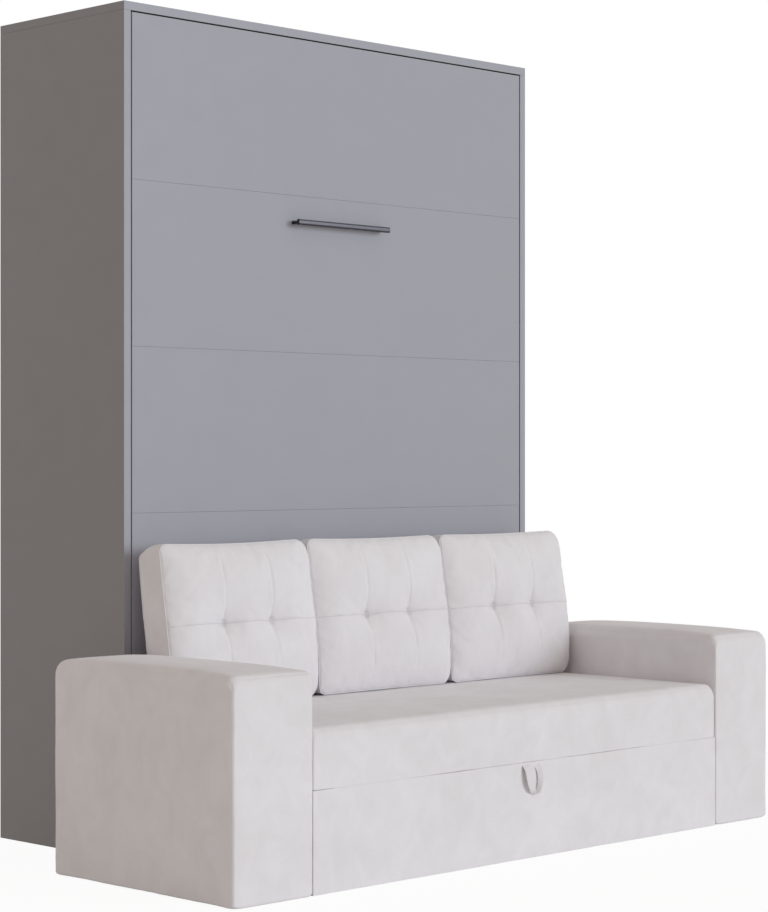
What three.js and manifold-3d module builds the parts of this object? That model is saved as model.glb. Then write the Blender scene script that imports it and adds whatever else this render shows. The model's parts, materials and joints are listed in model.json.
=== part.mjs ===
// Wall bed with sofa: a tall cabinet whose front is the underside of a bed, and a sofa that the bed folds down over.
// Millimetres. X runs across the width, +Y towards the wall, +Z up. Inside the furniture group Y = 0 is the
// cabinet's front plane, and the group is shifted so that the origin is the middle of the whole footprint.
import * as THREE from "three";
import { mergeVertices } from "three/addons/utils/BufferGeometryUtils.js";
import Module from "manifold-3d";

const wasm = await Module();
wasm.setup();

// Clearances
const TOUCH = 0.3; // between pieces that are fastened or rest together
const RUNNING = 0.4; // round a pin that turns

// Cabinet
const CABINET_WIDTH = 1524;
const CABINET_HEIGHT = 2180;
const PANEL = 22; // top, sides, bottom and rails
const BACK_PANEL = 8;
const BACK_INSET = 4; // from the cabinet's rear edges
const BOTTOM_HEIGHT = 40; // underside of the bottom panel
const BACK_RAIL_HEIGHT = 120;
const LOWER_FRONT_TOP = 392;
const BRACKET_LEG = 60;
const BRACKET_STEEL = 4;
const BRACKET_WIDTH = 40;
const BRACKET_INSET = 160; // from the cabinet's side

// Door: four boards under the bed frame
const DOOR_BOARD = 18;
const DOOR_GAP = 4;
const DOOR_BOTTOM_GAP = 20; // over the fixed panel below it
const DOOR_BOARD_HEIGHT = 425;
const DOOR_BOARDS = 4; // the lowest takes what is left
const BOARD_SEAM = 1.6;
const BOARD_CHAMFER = 1.5;

// Handle
const HANDLE_LENGTH = 355;
const HANDLE_BAR_RADIUS = 6.5;
const HANDLE_BAR_BEVEL = 1;
const HANDLE_STANDOFF = 31; // door to the middle of the bar
const HANDLE_BELOW_DOOR_TOP = 498;
const HANDLE_OFF_CENTRE = -14;
const HANDLE_POST_RADIUS = 5;
const HANDLE_POST_INSET = 12; // from the bar's ends

// Bed frame, upright as it stands in the cabinet
const PIVOT_BEHIND_FRONT = 70;
const PIVOT_HEIGHT = 480;
const FRAME_SIDE_GAP = 27; // between the frame and the cabinet's side, for the springs and the leg
const FRAME_BOTTOM = 100; // the head end
const FRAME_TOP_GAP = 18; // between the foot end and the cabinet's top
const RAIL_DEPTH = 100;
const RAIL_WIDTH = 14;
const RAIL_WALL = 2.5;
const CROSS_RAIL = 20;
const BEARER_WIDTH = 40;
const BEARER_DEPTH = 27;
const BEARER_INSET = 24; // from the side rail's flange
const SLATS = 13;
const SLAT_WIDTH = 68;
const SLAT_THICKNESS = 12;
const SLAT_EDGE = 3;
const SLAT_END_MARGIN = 50;

// Mattress and its straps
const MATTRESS_THICKNESS = 180;
const MATTRESS_SIDE_GAP = 5; // to the rail on each side
const MATTRESS_ROUND = 28;
const MATTRESS_CROWN = 7;
const STRAP_THICKNESS = 2.5;
const STRAP_WIDTH = 40;
const STRAP_HEIGHTS = [700, 1560];

// Pivot
const PIVOT_PIN_RADIUS = 10;
const PIVOT_COLLAR_RADIUS = 17;
const PIVOT_PLATE_WIDTH = 84;
const PIVOT_PLATE_HEIGHT = 170;
const PIVOT_PLATE_CORNER = 24; // lets the door's lower edge swing past under the plate
const PIVOT_PLATE_STEEL = 5;

// Gas springs
const SPRING_TOP = { y: 200, z: 870 }; // on the cabinet side
const SPRING_FOOT = { y: 95, z: 330 }; // on the bed's side rail
const SPRING_OFF_RAIL = 14; // from the rail to the spring's middle plane
const CYLINDER_RADIUS = 10;
const CYLINDER_BORE = 8;
const CYLINDER_LENGTH = 298;
const CYLINDER_END_WALL = 10;
const ROD_RADIUS = 4;
const PISTON_RADIUS = 7.6;
const PISTON_LENGTH = 14;
const PISTON_FROM_TOP = 214;
const EYE_RADIUS = 9;
const EYE_THICKNESS = 8;
const STUD_RADIUS = 4;
const STUD_STANDOFF = 7; // from the rail to the stud's end
const SPRING_PLATE_STEEL = 2;
const SPRING_PLATE_HALF = 26;

// Support leg: one bent tube that unfolds at the foot end
const LEG_HINGE_BEHIND_FRONT = 35;
const LEG_PAST_DOOR = 17; // how far the lowered leg stands past the door's edge
const LEG_OFF_RAIL = 13.5; // from the rail to the leg's middle plane
const LEG_RADIUS = 9;
const LEG_ARM = 300; // from the hinge to the elbow
const LEG_BEND = 26; // tight enough to pass round the door's top edge
const LEG_PIN_RADIUS = 5;
const LEG_PIN_HEAD = 8;
const LEG_PIN_HEAD_THICKNESS = 2.4;
const NUT_RADIUS = 8;
const NUT_THICKNESS = 6;
const LEG_REAR_GAP = 35; // from the folded leg to the cabinet's back, which sets the cabinet's depth
const GLIDE_WALL = 1.4;
const GLIDE_LENGTH = 44;
const GLIDE_INSET = 126.5; // from the leg's arms

// Sofa
const SOFA_FRONT = -702;
const ARM_CLEARANCE = 4; // the arms stand this much outside the cabinet's sides
const ARM_WIDTH = 240;
const ARM_HEIGHT = 526;
const ARM_BACK = -50;
const ARM_ROUND = 34;
const ARM_CROWN = 13;
const SEAT_BOTTOM = 246;
const SEAT_TOP = 390;
const SEAT_ROUND = 26;
const SEAT_CROWN = 6;
const SEAT_SIDE_GAP = 1.5;
const SOFA_BOARD = 18;
const SOFA_BACK_HEIGHT_GAP = 20;

// Drawer under the seat
const DRAWER_FRONT_BOTTOM = 6;
const DRAWER_FRONT_THICKNESS = 29;
const DRAWER_FRONT_SIDE_GAP = 2;
const DRAWER_FRONT_TOP_GAP = 2.5;
const DRAWER_FRONT_ROUND = 5;
const DRAWER_FRONT_CROWN = 3;
const DRAWER_SIDE = 16;
const DRAWER_SIDE_BOTTOM = 30;
const DRAWER_SIDE_TOP = 206;
const DRAWER_FLOOR = 10;
const DRAWER_FLOOR_HEIGHT = 42;
const DRAWER_REAR_GAP = 18; // to the sofa's back board
const RUNNER_HEIGHT = 45;
const RUNNER_BOTTOM = 100;
const RUNNER_DEPTH = 8;
const RUNNER_STEEL = 1.5;
const RUNNER_REAR_GAP = 5; // to the sofa's back board
const SLIDE_PLAY = 2.5; // between the slide and the runner round it

// Pull loop on the drawer front
const LOOP_THICKNESS = 2;
const LOOP_EDGE = 1; // how far its rounded edge stands out
const LOOP_STEPS = 30;
const LOOP_PROUD = 18; // how far the loop bellies out of the sofa's front
const LOOP_OFF_CENTRE = 0;
// Points along the strap: its middle's place across, out and down, the way its width lies, and half its width.
const LOOP_ROUTE = [
  [-24, -1.6, 0, 1, 0, 0, 15],
  [-23, 3.2, 16, 0.98, 0.2, 0, 14.5],
  [-20, 6.9, 36, 0.92, 0.39, 0, 13.5],
  [-15, 8, 56, 0.78, 0.56, 0.28, 11],
  [-7, 7.7, 72, 0.4, 0.85, 0.35, 7.6],
  [2, 7.3, 78, 0, 1, 0, 6.2],
  [10, 7.4, 71, 0.3, 0.9, -0.3, 6.6],
  [16, 7.5, 55, 0.45, 0.87, -0.2, 7.2],
  [19, 6.9, 36, 0.65, 0.75, -0.1, 8.6],
  [18, 3.8, 17, 0.92, 0.38, 0, 10.5],
  [14, -1.6, 0, 1, 0, 0, 13],
];
// The strap's section, in shares of half its width and half its thickness.
const LOOP_SECTION = [
  [-1, -1],
  [1, -1],
  [1, 0],
  [1, 1],
  [-1, 1],
  [-1, 0],
];

// Back cushions
const CUSHIONS = ["left", "middle", "right"];
const CUSHION_GAP = 5;
const CUSHION_ARM_GAP = 11;
const CUSHION_HEIGHT = 404;
const CUSHION_GUSSET = 86; // the band between the two welted seams
const CUSHION_FRONT_CROWN = 48;
const CUSHION_BACK_CROWN = 58;
const CUSHION_CORNER = 36;
const CUSHION_EDGE_STATIONS = [0, 8, 26, 60, 105]; // where the crown is cut, from the edge inwards
const CUSHION_SIDE_BELLY = 4;
const CUSHION_DRAW_IN = 4; // how far the edges pull in between the corners
const CUSHION_LEAN = 9.5; // degrees
const TUFT_FROM_CENTRE = 81;
const TUFT_DEPTH = 15;
const TUFT_REACH = 24;
const CHANNEL_DEPTH = 6;
const CHANNEL_HALF_WIDTH = 9;

// What follows from the sizes
const insideHalf = CABINET_WIDTH / 2 - PANEL;
const sideTop = CABINET_HEIGHT - PANEL;
const glideRadius = LEG_RADIUS + TOUCH + GLIDE_WALL;
// The lowered leg's bar stands on its glides, so its reach is the hinge's height then, less the glide.
const legReach = PIVOT_HEIGHT + LEG_HINGE_BEHIND_FRONT - PIVOT_BEHIND_FRONT - glideRadius;
const legBarDepth = LEG_HINGE_BEHIND_FRONT + legReach;
const backFace = legBarDepth + glideRadius + LEG_REAR_GAP;
const cabinetDepth = backFace + BACK_PANEL + BACK_INSET;
const doorHalf = insideHalf - DOOR_GAP;
const doorTop = sideTop - DOOR_GAP;
const doorBottom = LOWER_FRONT_TOP + DOOR_BOTTOM_GAP;
const frameHalf = insideHalf - FRAME_SIDE_GAP;
const frameTop = sideTop - FRAME_TOP_GAP;
const railFront = DOOR_BOARD + TOUCH;
const slatFront = railFront + BEARER_DEPTH;
const mattressFront = slatFront + SLAT_THICKNESS + TOUCH;
const mattressHalf = frameHalf - RAIL_WIDTH - MATTRESS_SIDE_GAP;
const mattressBottom = FRAME_BOTTOM + CROSS_RAIL + TOUCH;
const mattressTop = frameTop - CROSS_RAIL - TOUCH;
const armInner = CABINET_WIDTH / 2 + ARM_CLEARANCE;
const bearerMiddle = frameHalf - RAIL_WIDTH - BEARER_INSET - BEARER_WIDTH / 2;
const springMiddle = frameHalf + SPRING_OFF_RAIL;
const legMiddle = frameHalf + LEG_OFF_RAIL;
const legHingeHeight = doorTop + LEG_PAST_DOOR - LEG_ARM;
const cushionWidth = (2 * (armInner - CUSHION_ARM_GAP - CUSHION_GAP)) / CUSHIONS.length;
const seatHalf = armInner - SEAT_SIDE_GAP;
const boardOuter = armInner - TOUCH;
const boardFront = SOFA_FRONT + DRAWER_FRONT_THICKNESS;
const drawerBack = ARM_BACK - SOFA_BOARD - DRAWER_REAR_GAP;
const platformTop = SEAT_BOTTOM - TOUCH;
const platformBottom = platformTop - SOFA_BOARD;
const loopFront = SOFA_FRONT - LOOP_PROUD;
const frontToBackMiddle = (loopFront + cabinetDepth) / 2;

// Colours
const GREY_FRONT = new THREE.MeshStandardMaterial({ color: 0x9b9ea6, roughness: 0.6, metalness: 0 });
const GREY_CARCASS = new THREE.MeshStandardMaterial({ color: 0x94949a, roughness: 0.62, metalness: 0 });
const WHITE_BOARD = new THREE.MeshStandardMaterial({ color: 0xdcdad6, roughness: 0.55, metalness: 0 });
const DARK_METAL = new THREE.MeshStandardMaterial({ color: 0x4a4b50, roughness: 0.4, metalness: 0.85 });
const FRAME_STEEL = new THREE.MeshStandardMaterial({ color: 0x2e2f32, roughness: 0.5, metalness: 0.3 });
const BRIGHT_STEEL = new THREE.MeshStandardMaterial({ color: 0xb9bcc0, roughness: 0.3, metalness: 0.95 });
const BEECH = new THREE.MeshStandardMaterial({ color: 0xd8b98c, roughness: 0.55, metalness: 0 });
const MATTRESS_CLOTH = new THREE.MeshStandardMaterial({ color: 0xe9e7e2, roughness: 0.9, metalness: 0 });
const WEBBING = new THREE.MeshStandardMaterial({ color: 0x3a3b3e, roughness: 0.85, metalness: 0 });
const VELVET = new THREE.MeshStandardMaterial({ color: 0xd9d5d6, roughness: 0.95, metalness: 0 });
const RUBBER = new THREE.MeshStandardMaterial({ color: 0x1d1d1f, roughness: 0.8, metalness: 0 });

const root = new THREE.Group();
const furniture = new THREE.Group();
furniture.position.y = -frontToBackMiddle;
root.add(furniture);

function add(name, geometry, material, parent = furniture) {
  const mesh = new THREE.Mesh(geometry, material);
  mesh.name = name;
  parent.add(mesh);
  return mesh;
}

const SIDES = [
  ["left", -1],
  ["right", 1],
];

// Shapes

function board(x, y, z) {
  const box = new THREE.BoxGeometry(x[1] - x[0], y[1] - y[0], z[1] - z[0]);
  return box.translate((x[0] + x[1]) / 2, (y[0] + y[1]) / 2, (z[0] + z[1]) / 2);
}

// A span that starts at the given distance from the centre plane and runs outwards, on the side that is asked for.
function span(side, inner, outer) {
  return side < 0 ? [-outer, -inner] : [inner, outer];
}

function polygon(points, holes = []) {
  const shape = new THREE.Shape(points.map(([u, v]) => new THREE.Vector2(u, v)));
  shape.holes = holes;
  return shape;
}

// A shape drawn in Y and Z, extruded along X between two values.
function alongX(shape, x, curveSegments = 12) {
  const solid = new THREE.ExtrudeGeometry(shape, { depth: x[1] - x[0], bevelEnabled: false, curveSegments });
  const axes = new THREE.Matrix4().makeBasis(
    new THREE.Vector3(0, 1, 0),
    new THREE.Vector3(0, 0, 1),
    new THREE.Vector3(1, 0, 0),
  );
  return solid.applyMatrix4(axes).translate(x[0], 0, 0);
}

function roundedRectangle(width, height, radius, shape = new THREE.Shape()) {
  const w = width / 2 - radius;
  const h = height / 2 - radius;
  shape.absarc(w, -h, radius, -Math.PI / 2, 0, false);
  shape.absarc(w, h, radius, 0, Math.PI / 2, false);
  shape.absarc(-w, h, radius, Math.PI / 2, Math.PI, false);
  shape.absarc(-w, -h, radius, Math.PI, 1.5 * Math.PI, false);
  shape.closePath();
  return shape;
}

// A round bar along X between two values.
function roundAlongX(radius, x, y, z, sides = 24) {
  const bar = new THREE.CylinderGeometry(radius, radius, x[1] - x[0], sides);
  return bar.rotateZ(Math.PI / 2).translate((x[0] + x[1]) / 2, y, z);
}

// Booleans

function solidOf(geometry) {
  const bare = geometry.clone();
  for (const name of Object.keys(bare.attributes)) {
    if (name !== "position") {
      bare.deleteAttribute(name);
    }
  }
  const merged = mergeVertices(bare, 1e-4);
  return new wasm.Manifold(
    new wasm.Mesh({
      numProp: 3,
      vertProperties: new Float32Array(merged.attributes.position.array),
      triVerts: new Uint32Array(merged.index.array),
    }),
  );
}

function geometryOf(solid) {
  const mesh = solid.getMesh();
  const geometry = new THREE.BufferGeometry();
  geometry.setAttribute("position", new THREE.BufferAttribute(new Float32Array(mesh.vertProperties), 3));
  geometry.setIndex(new THREE.BufferAttribute(new Uint32Array(mesh.triVerts), 1));
  return geometry;
}

const join = (...pieces) => geometryOf(pieces.map(solidOf).reduce((a, b) => a.add(b)));
const cut = (body, ...tools) => geometryOf(tools.map(solidOf).reduce((a, b) => a.subtract(b), solidOf(body)));

// A bent tube: straight runs between corners that are rounded by arcs. Each run is one step, and each bend a few.
class BentPath extends THREE.Curve {
  constructor(corners, bend, stepsPerBend) {
    super();
    this.stations = [corners[0]];
    for (let i = 1; i < corners.length - 1; i++) {
      const [before, at, after] = [corners[i - 1], corners[i], corners[i + 1]];
      const start = at.clone().addScaledVector(before.clone().sub(at).normalize(), bend);
      const end = at.clone().addScaledVector(after.clone().sub(at).normalize(), bend);
      const centre = start.clone().add(end).sub(at);
      for (let k = 0; k <= stepsPerBend; k++) {
        const angle = ((k / stepsPerBend) * Math.PI) / 2;
        const point = centre.clone();
        point.addScaledVector(start.clone().sub(centre), Math.cos(angle));
        point.addScaledVector(end.clone().sub(centre), Math.sin(angle));
        this.stations.push(point);
      }
    }
    this.stations.push(corners.at(-1));
  }

  getPoint(t) {
    const at = t * (this.stations.length - 1);
    const i = Math.min(Math.floor(at), this.stations.length - 2);
    return this.stations[i].clone().lerp(this.stations[i + 1], at - i);
  }

  getPointAt(u) {
    return this.getPoint(u);
  }

  getTangentAt(u, target) {
    return this.getTangent(u, target);
  }
}

function tube(corners, bend, radius, sides = 12, stepsPerBend = 5) {
  const path = new BentPath(corners, bend, stepsPerBend);
  const section = new THREE.Shape(
    Array.from({ length: sides }, (_, i) => {
      const angle = (2 * Math.PI * i) / sides;
      return new THREE.Vector2(radius * Math.cos(angle), radius * Math.sin(angle));
    }),
  );
  return new THREE.ExtrudeGeometry(section, { steps: path.stations.length - 1, extrudePath: path });
}

// Padded forms

// A box whose faces are cut at the given stations, in shares from -1 to 1, and then moved point by point.
function padded(stationsX, stationsY, stationsZ, place) {
  const counts = [stationsX.length - 1, stationsY.length - 1, stationsZ.length - 1];
  const box = new THREE.BoxGeometry(1, 1, 1, ...counts);
  box.deleteAttribute("normal");
  box.deleteAttribute("uv");
  box.clearGroups();
  const form = mergeVertices(box, 1e-5);
  const at = form.attributes.position;
  for (let i = 0; i < at.count; i++) {
    const a = stationsX[Math.round((at.getX(i) + 0.5) * counts[0])];
    const b = stationsY[Math.round((at.getY(i) + 0.5) * counts[1])];
    const c = stationsZ[Math.round((at.getZ(i) + 0.5) * counts[2])];
    at.setXYZ(i, ...place(a, b, c));
  }
  return form;
}

// Stations for a rounded edge at each end, at these shares of its radius, and a number of equal steps between.
const FINE_EDGE = [0, 0.3, 0.65];
const PLAIN_EDGE = [0, 0.45];

function edgeStations(half, round, steps, shares) {
  const inner = 1 - round / half;
  const edge = shares.map((share) => 1 - (round * share) / half);
  const middle = Array.from({ length: steps + 1 }, (_, i) => inner * ((2 * i) / steps - 1));
  return [...edge.map((v) => -v), ...middle, ...edge.reverse()];
}

const dome = (t, power = 2) => 1 - Math.abs(t) ** power;

// An upholstered block: edges rounded on all sides but those that are left square, and faces that belly out.
function upholstered({ x, y, z, round, steps, crown, square = {}, edge = FINE_EDGE }) {
  const half = [x, y, z].map(([low, high]) => (high - low) / 2);
  const middle = [x, y, z].map(([low, high]) => (high + low) / 2);
  const stations = half.map((h, i) => edgeStations(h, round, steps[i], edge));
  return padded(...stations, (...share) => {
    const point = share.map((s, i) => s * half[i]);
    const out = share.map((s, i) => {
      const isSquare = square["xyz"[i] + (s < 0 ? "-" : "+")];
      return isSquare ? 0 : Math.sign(s) * Math.max(0, Math.abs(point[i]) - (half[i] - round));
    });
    const length = Math.hypot(...out);
    const pull = length > 0 ? round / length : 0;
    const onFace = share.some((s, i) => Math.abs(s) === 1 && !square["xyz"[i] + (s < 0 ? "-" : "+")]);
    return point.map((p, i) => {
      const others = [0, 1, 2].filter((k) => k !== i);
      const swell = crown["xyz"[i] + (share[i] < 0 ? "-" : "+")] ?? 0;
      const belly = share[i] * swell * dome(share[others[0]], 4) * dome(share[others[1]], 4);
      const rounded = onFace ? p - out[i] + out[i] * pull : p;
      return middle[i] + rounded + belly;
    });
  });
}

// Cabinet

function cabinet() {
  const inside = [-insideHalf + TOUCH, insideHalf - TOUCH];
  for (const [side, sign] of SIDES) {
    const x = span(sign, insideHalf, CABINET_WIDTH / 2);
    add(`side_panel_${side}`, board(x, [0, cabinetDepth], [0, sideTop - TOUCH]), GREY_CARCASS);
  }
  const whole = [-CABINET_WIDTH / 2, CABINET_WIDTH / 2];
  add("top_panel", board(whole, [0, cabinetDepth], [sideTop, CABINET_HEIGHT]), GREY_CARCASS);
  const bottom = [BOTTOM_HEIGHT, BOTTOM_HEIGHT + PANEL];
  add("bottom_panel", board(inside, [DOOR_BOARD + TOUCH, backFace - TOUCH], bottom), WHITE_BOARD);
  const back = [backFace, backFace + BACK_PANEL];
  add("back_panel", board(inside, back, [BOTTOM_HEIGHT, sideTop - TOUCH]), WHITE_BOARD);
  const railBack = backFace - TOUCH;
  const railFace = railBack - PANEL;
  const railHeights = [sideTop - TOUCH - BACK_RAIL_HEIGHT, sideTop - TOUCH];
  add("back_rail", board(inside, [railFace, railBack], railHeights), WHITE_BOARD);
  add("lower_front_panel", board(inside, [0, DOOR_BOARD], [0, LOWER_FRONT_TOP]), GREY_CARCASS);

  const corner = { y: railFace - TOUCH, z: sideTop - TOUCH };
  const angle = polygon([
    [corner.y, corner.z],
    [corner.y - BRACKET_LEG, corner.z],
    [corner.y - BRACKET_LEG, corner.z - BRACKET_STEEL],
    [corner.y - BRACKET_STEEL, corner.z - BRACKET_STEEL],
    [corner.y - BRACKET_STEEL, corner.z - BRACKET_LEG],
    [corner.y, corner.z - BRACKET_LEG],
  ]);
  for (const [side, sign] of SIDES) {
    const outer = insideHalf - BRACKET_INSET;
    const x = span(sign, outer - BRACKET_WIDTH, outer);
    add(`wall_bracket_${side}`, alongX(angle, x), BRIGHT_STEEL);
  }
}

// The plate, collar and pin that carry one side of the bed.
function pivots() {
  const plateOuter = insideHalf - TOUCH;
  const plateInner = plateOuter - PIVOT_PLATE_STEEL;
  const pinEnd = frameHalf - RAIL_WIDTH / 2;
  for (const [side, sign] of SIDES) {
    const outline = roundedRectangle(PIVOT_PLATE_WIDTH, PIVOT_PLATE_HEIGHT, PIVOT_PLATE_CORNER);
    const plate = alongX(outline, span(sign, plateInner, plateOuter), 4);
    plate.translate(0, PIVOT_BEHIND_FRONT, PIVOT_HEIGHT + (PIVOT_PLATE_HEIGHT - PIVOT_PLATE_WIDTH) / 2);
    const collarSpan = span(sign, frameHalf + TOUCH, plateInner + 1);
    const collar = roundAlongX(PIVOT_COLLAR_RADIUS, collarSpan, PIVOT_BEHIND_FRONT, PIVOT_HEIGHT);
    const pinSpan = span(sign, pinEnd, plateInner + 1);
    const pin = roundAlongX(PIVOT_PIN_RADIUS, pinSpan, PIVOT_BEHIND_FRONT, PIVOT_HEIGHT);
    add(`pivot_plate_${side}`, join(plate, collar, pin), BRIGHT_STEEL);
  }
}

// Door

function door() {
  const chamfer = BOARD_CHAMFER;
  for (let i = 0; i < DOOR_BOARDS; i++) {
    const top = doorTop - i * DOOR_BOARD_HEIGHT;
    const isLowest = i === DOOR_BOARDS - 1;
    const bottom = isLowest ? doorBottom : top - DOOR_BOARD_HEIGHT + BOARD_SEAM;
    const section = polygon([
      [0, bottom + chamfer],
      [chamfer, bottom],
      [DOOR_BOARD, bottom],
      [DOOR_BOARD, top],
      [chamfer, top],
      [0, top - chamfer],
    ]);
    add(`door_board_${i + 1}`, alongX(section, [-doorHalf, doorHalf]), GREY_FRONT);
  }
}

function handle() {
  const half = HANDLE_LENGTH / 2;
  const height = doorTop - HANDLE_BELOW_DOOR_TOP;
  const bevel = HANDLE_BAR_BEVEL;
  const profile = [
    [0, -half],
    [HANDLE_BAR_RADIUS - bevel, -half],
    [HANDLE_BAR_RADIUS, bevel - half],
    [HANDLE_BAR_RADIUS, half - bevel],
    [HANDLE_BAR_RADIUS - bevel, half],
    [0, half],
  ];
  const bar = new THREE.LatheGeometry(profile.map(([r, h]) => new THREE.Vector2(r, h)), 24);
  const grip = add("handle_bar", bar, DARK_METAL);
  grip.rotation.z = Math.PI / 2;
  grip.position.set(HANDLE_OFF_CENTRE, -HANDLE_STANDOFF, height);
  for (const [side, sign] of SIDES) {
    const length = HANDLE_STANDOFF - HANDLE_BAR_RADIUS - 2 * TOUCH;
    const post = new THREE.CylinderGeometry(HANDLE_POST_RADIUS, HANDLE_POST_RADIUS, length, 20);
    const upright = add(`handle_post_${side}`, post, DARK_METAL);
    const x = HANDLE_OFF_CENTRE + sign * (half - HANDLE_POST_INSET);
    upright.position.set(x, -TOUCH - length / 2, height);
  }
}

// Bed frame

function sideRail(sign) {
  const outer = frameHalf;
  const inner = outer - RAIL_WIDTH;
  const back = railFront + RAIL_DEPTH;
  const heights = [FRAME_BOTTOM, frameTop];
  const web = board(span(sign, outer - RAIL_WALL, outer), [railFront, back], heights);
  const flangeFront = board(span(sign, inner, outer), [railFront, railFront + RAIL_WALL], heights);
  const flangeBack = board(span(sign, inner, outer), [back - RAIL_WALL, back], heights);
  const channel = join(web, flangeFront, flangeBack);

  const drill = (radius, y, z) => roundAlongX(radius, span(sign, inner, outer + 1), y, z);
  return cut(
    channel,
    drill(PIVOT_PIN_RADIUS + RUNNING, PIVOT_BEHIND_FRONT, PIVOT_HEIGHT),
    drill(STUD_RADIUS + RUNNING, SPRING_FOOT.y, SPRING_FOOT.z),
    drill(LEG_PIN_RADIUS + RUNNING, LEG_HINGE_BEHIND_FRONT, legHingeHeight),
  );
}

// A fastener through a side rail's web: its profile is given from the nut inside the rail outwards.
function throughRail(name, sign, profile, y, z, material) {
  const turned = new THREE.LatheGeometry(profile.map(([r, x]) => new THREE.Vector2(r, x)), 16);
  const piece = add(name, turned, material);
  piece.rotation.z = (-sign * Math.PI) / 2;
  piece.position.set(0, y, z);
}

function railFasteners() {
  const webInner = frameHalf - RAIL_WALL;
  const nutEnd = webInner - TOUCH;
  const nutStart = nutEnd - NUT_THICKNESS;
  const webOuter = frameHalf + TOUCH;
  const headStart = legMiddle + LEG_RADIUS + TOUCH;
  const headEnd = headStart + LEG_PIN_HEAD_THICKNESS;
  const studEnd = frameHalf + STUD_STANDOFF;
  const bolt = [
    [0, nutStart],
    [NUT_RADIUS, nutStart],
    [NUT_RADIUS, nutEnd],
    [LEG_PIN_RADIUS, nutEnd],
    [LEG_PIN_RADIUS, headStart],
    [LEG_PIN_HEAD, headStart],
    [LEG_PIN_HEAD, headEnd],
    [0, headEnd],
  ];
  const stud = [
    [0, nutStart],
    [NUT_RADIUS, nutStart],
    [NUT_RADIUS, nutEnd],
    [STUD_RADIUS, nutEnd],
    [STUD_RADIUS, webOuter],
    [NUT_RADIUS, webOuter],
    [NUT_RADIUS, webOuter + 2],
    [STUD_RADIUS, webOuter + 2],
    [STUD_RADIUS, studEnd],
    [0, studEnd],
  ];
  for (const [side, sign] of SIDES) {
    throughRail(`leg_bolt_${side}`, sign, bolt, LEG_HINGE_BEHIND_FRONT, legHingeHeight, BRIGHT_STEEL);
    throughRail(`spring_stud_${side}`, sign, stud, SPRING_FOOT.y, SPRING_FOOT.z, BRIGHT_STEEL);
  }
}

function bedFrame() {
  for (const [side, sign] of SIDES) {
    add(`side_rail_${side}`, sideRail(sign), FRAME_STEEL);
  }
  const inChannel = frameHalf - RAIL_WALL - TOUCH;
  const depth = [railFront + RAIL_WALL + TOUCH, railFront + RAIL_DEPTH - RAIL_WALL - TOUCH];
  const x = [-inChannel, inChannel];
  add("head_rail", board(x, depth, [FRAME_BOTTOM, FRAME_BOTTOM + CROSS_RAIL]), FRAME_STEEL);
  add("foot_rail", board(x, depth, [frameTop - CROSS_RAIL, frameTop]), FRAME_STEEL);

  const bearerHeights = [mattressBottom, mattressTop];
  const bearers = [-bearerMiddle, 0, bearerMiddle].map((middle) =>
    board([middle - BEARER_WIDTH / 2, middle + BEARER_WIDTH / 2], [railFront, slatFront + 1], bearerHeights),
  );
  const slatHalf = frameHalf - RAIL_WIDTH - TOUCH;
  const first = mattressBottom + SLAT_END_MARGIN + SLAT_WIDTH / 2;
  const last = mattressTop - SLAT_END_MARGIN - SLAT_WIDTH / 2;
  const slats = Array.from({ length: SLATS }, (_, i) => {
    const middle = first + ((last - first) * i) / (SLATS - 1);
    const section = roundedRectangle(SLAT_THICKNESS, SLAT_WIDTH, SLAT_EDGE);
    return alongX(section, [-slatHalf, slatHalf], 1).translate(0, slatFront + SLAT_THICKNESS / 2, middle);
  });
  add("slatted_base", join(...bearers, ...slats), BEECH);
}

function mattress() {
  const y = [mattressFront, mattressFront + MATTRESS_THICKNESS];
  const form = upholstered({
    x: [-mattressHalf, mattressHalf],
    y,
    z: [mattressBottom, mattressTop],
    round: MATTRESS_ROUND,
    steps: [3, 1, 4],
    edge: PLAIN_EDGE,
    crown: { "y+": MATTRESS_CROWN, "x-": -3, "x+": -3, "z-": -3, "z+": -3 },
  });
  add("mattress", form, MATTRESS_CLOTH);

  STRAP_HEIGHTS.forEach((height, i) => {
    const inner = mattressHalf + TOUCH;
    const outer = inner + STRAP_THICKNESS;
    const over = y[1] + MATTRESS_CROWN + TOUCH;
    const outline = polygon([
      [-outer, mattressFront],
      [-inner, mattressFront],
      [-inner, over],
      [inner, over],
      [inner, mattressFront],
      [outer, mattressFront],
      [outer, over + STRAP_THICKNESS],
      [-outer, over + STRAP_THICKNESS],
    ]);
    const strap = new THREE.ExtrudeGeometry(outline, { depth: STRAP_WIDTH, bevelEnabled: false });
    strap.translate(0, 0, height - STRAP_WIDTH / 2);
    add(`mattress_strap_${i + 1}`, strap, WEBBING);
  });
}

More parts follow.
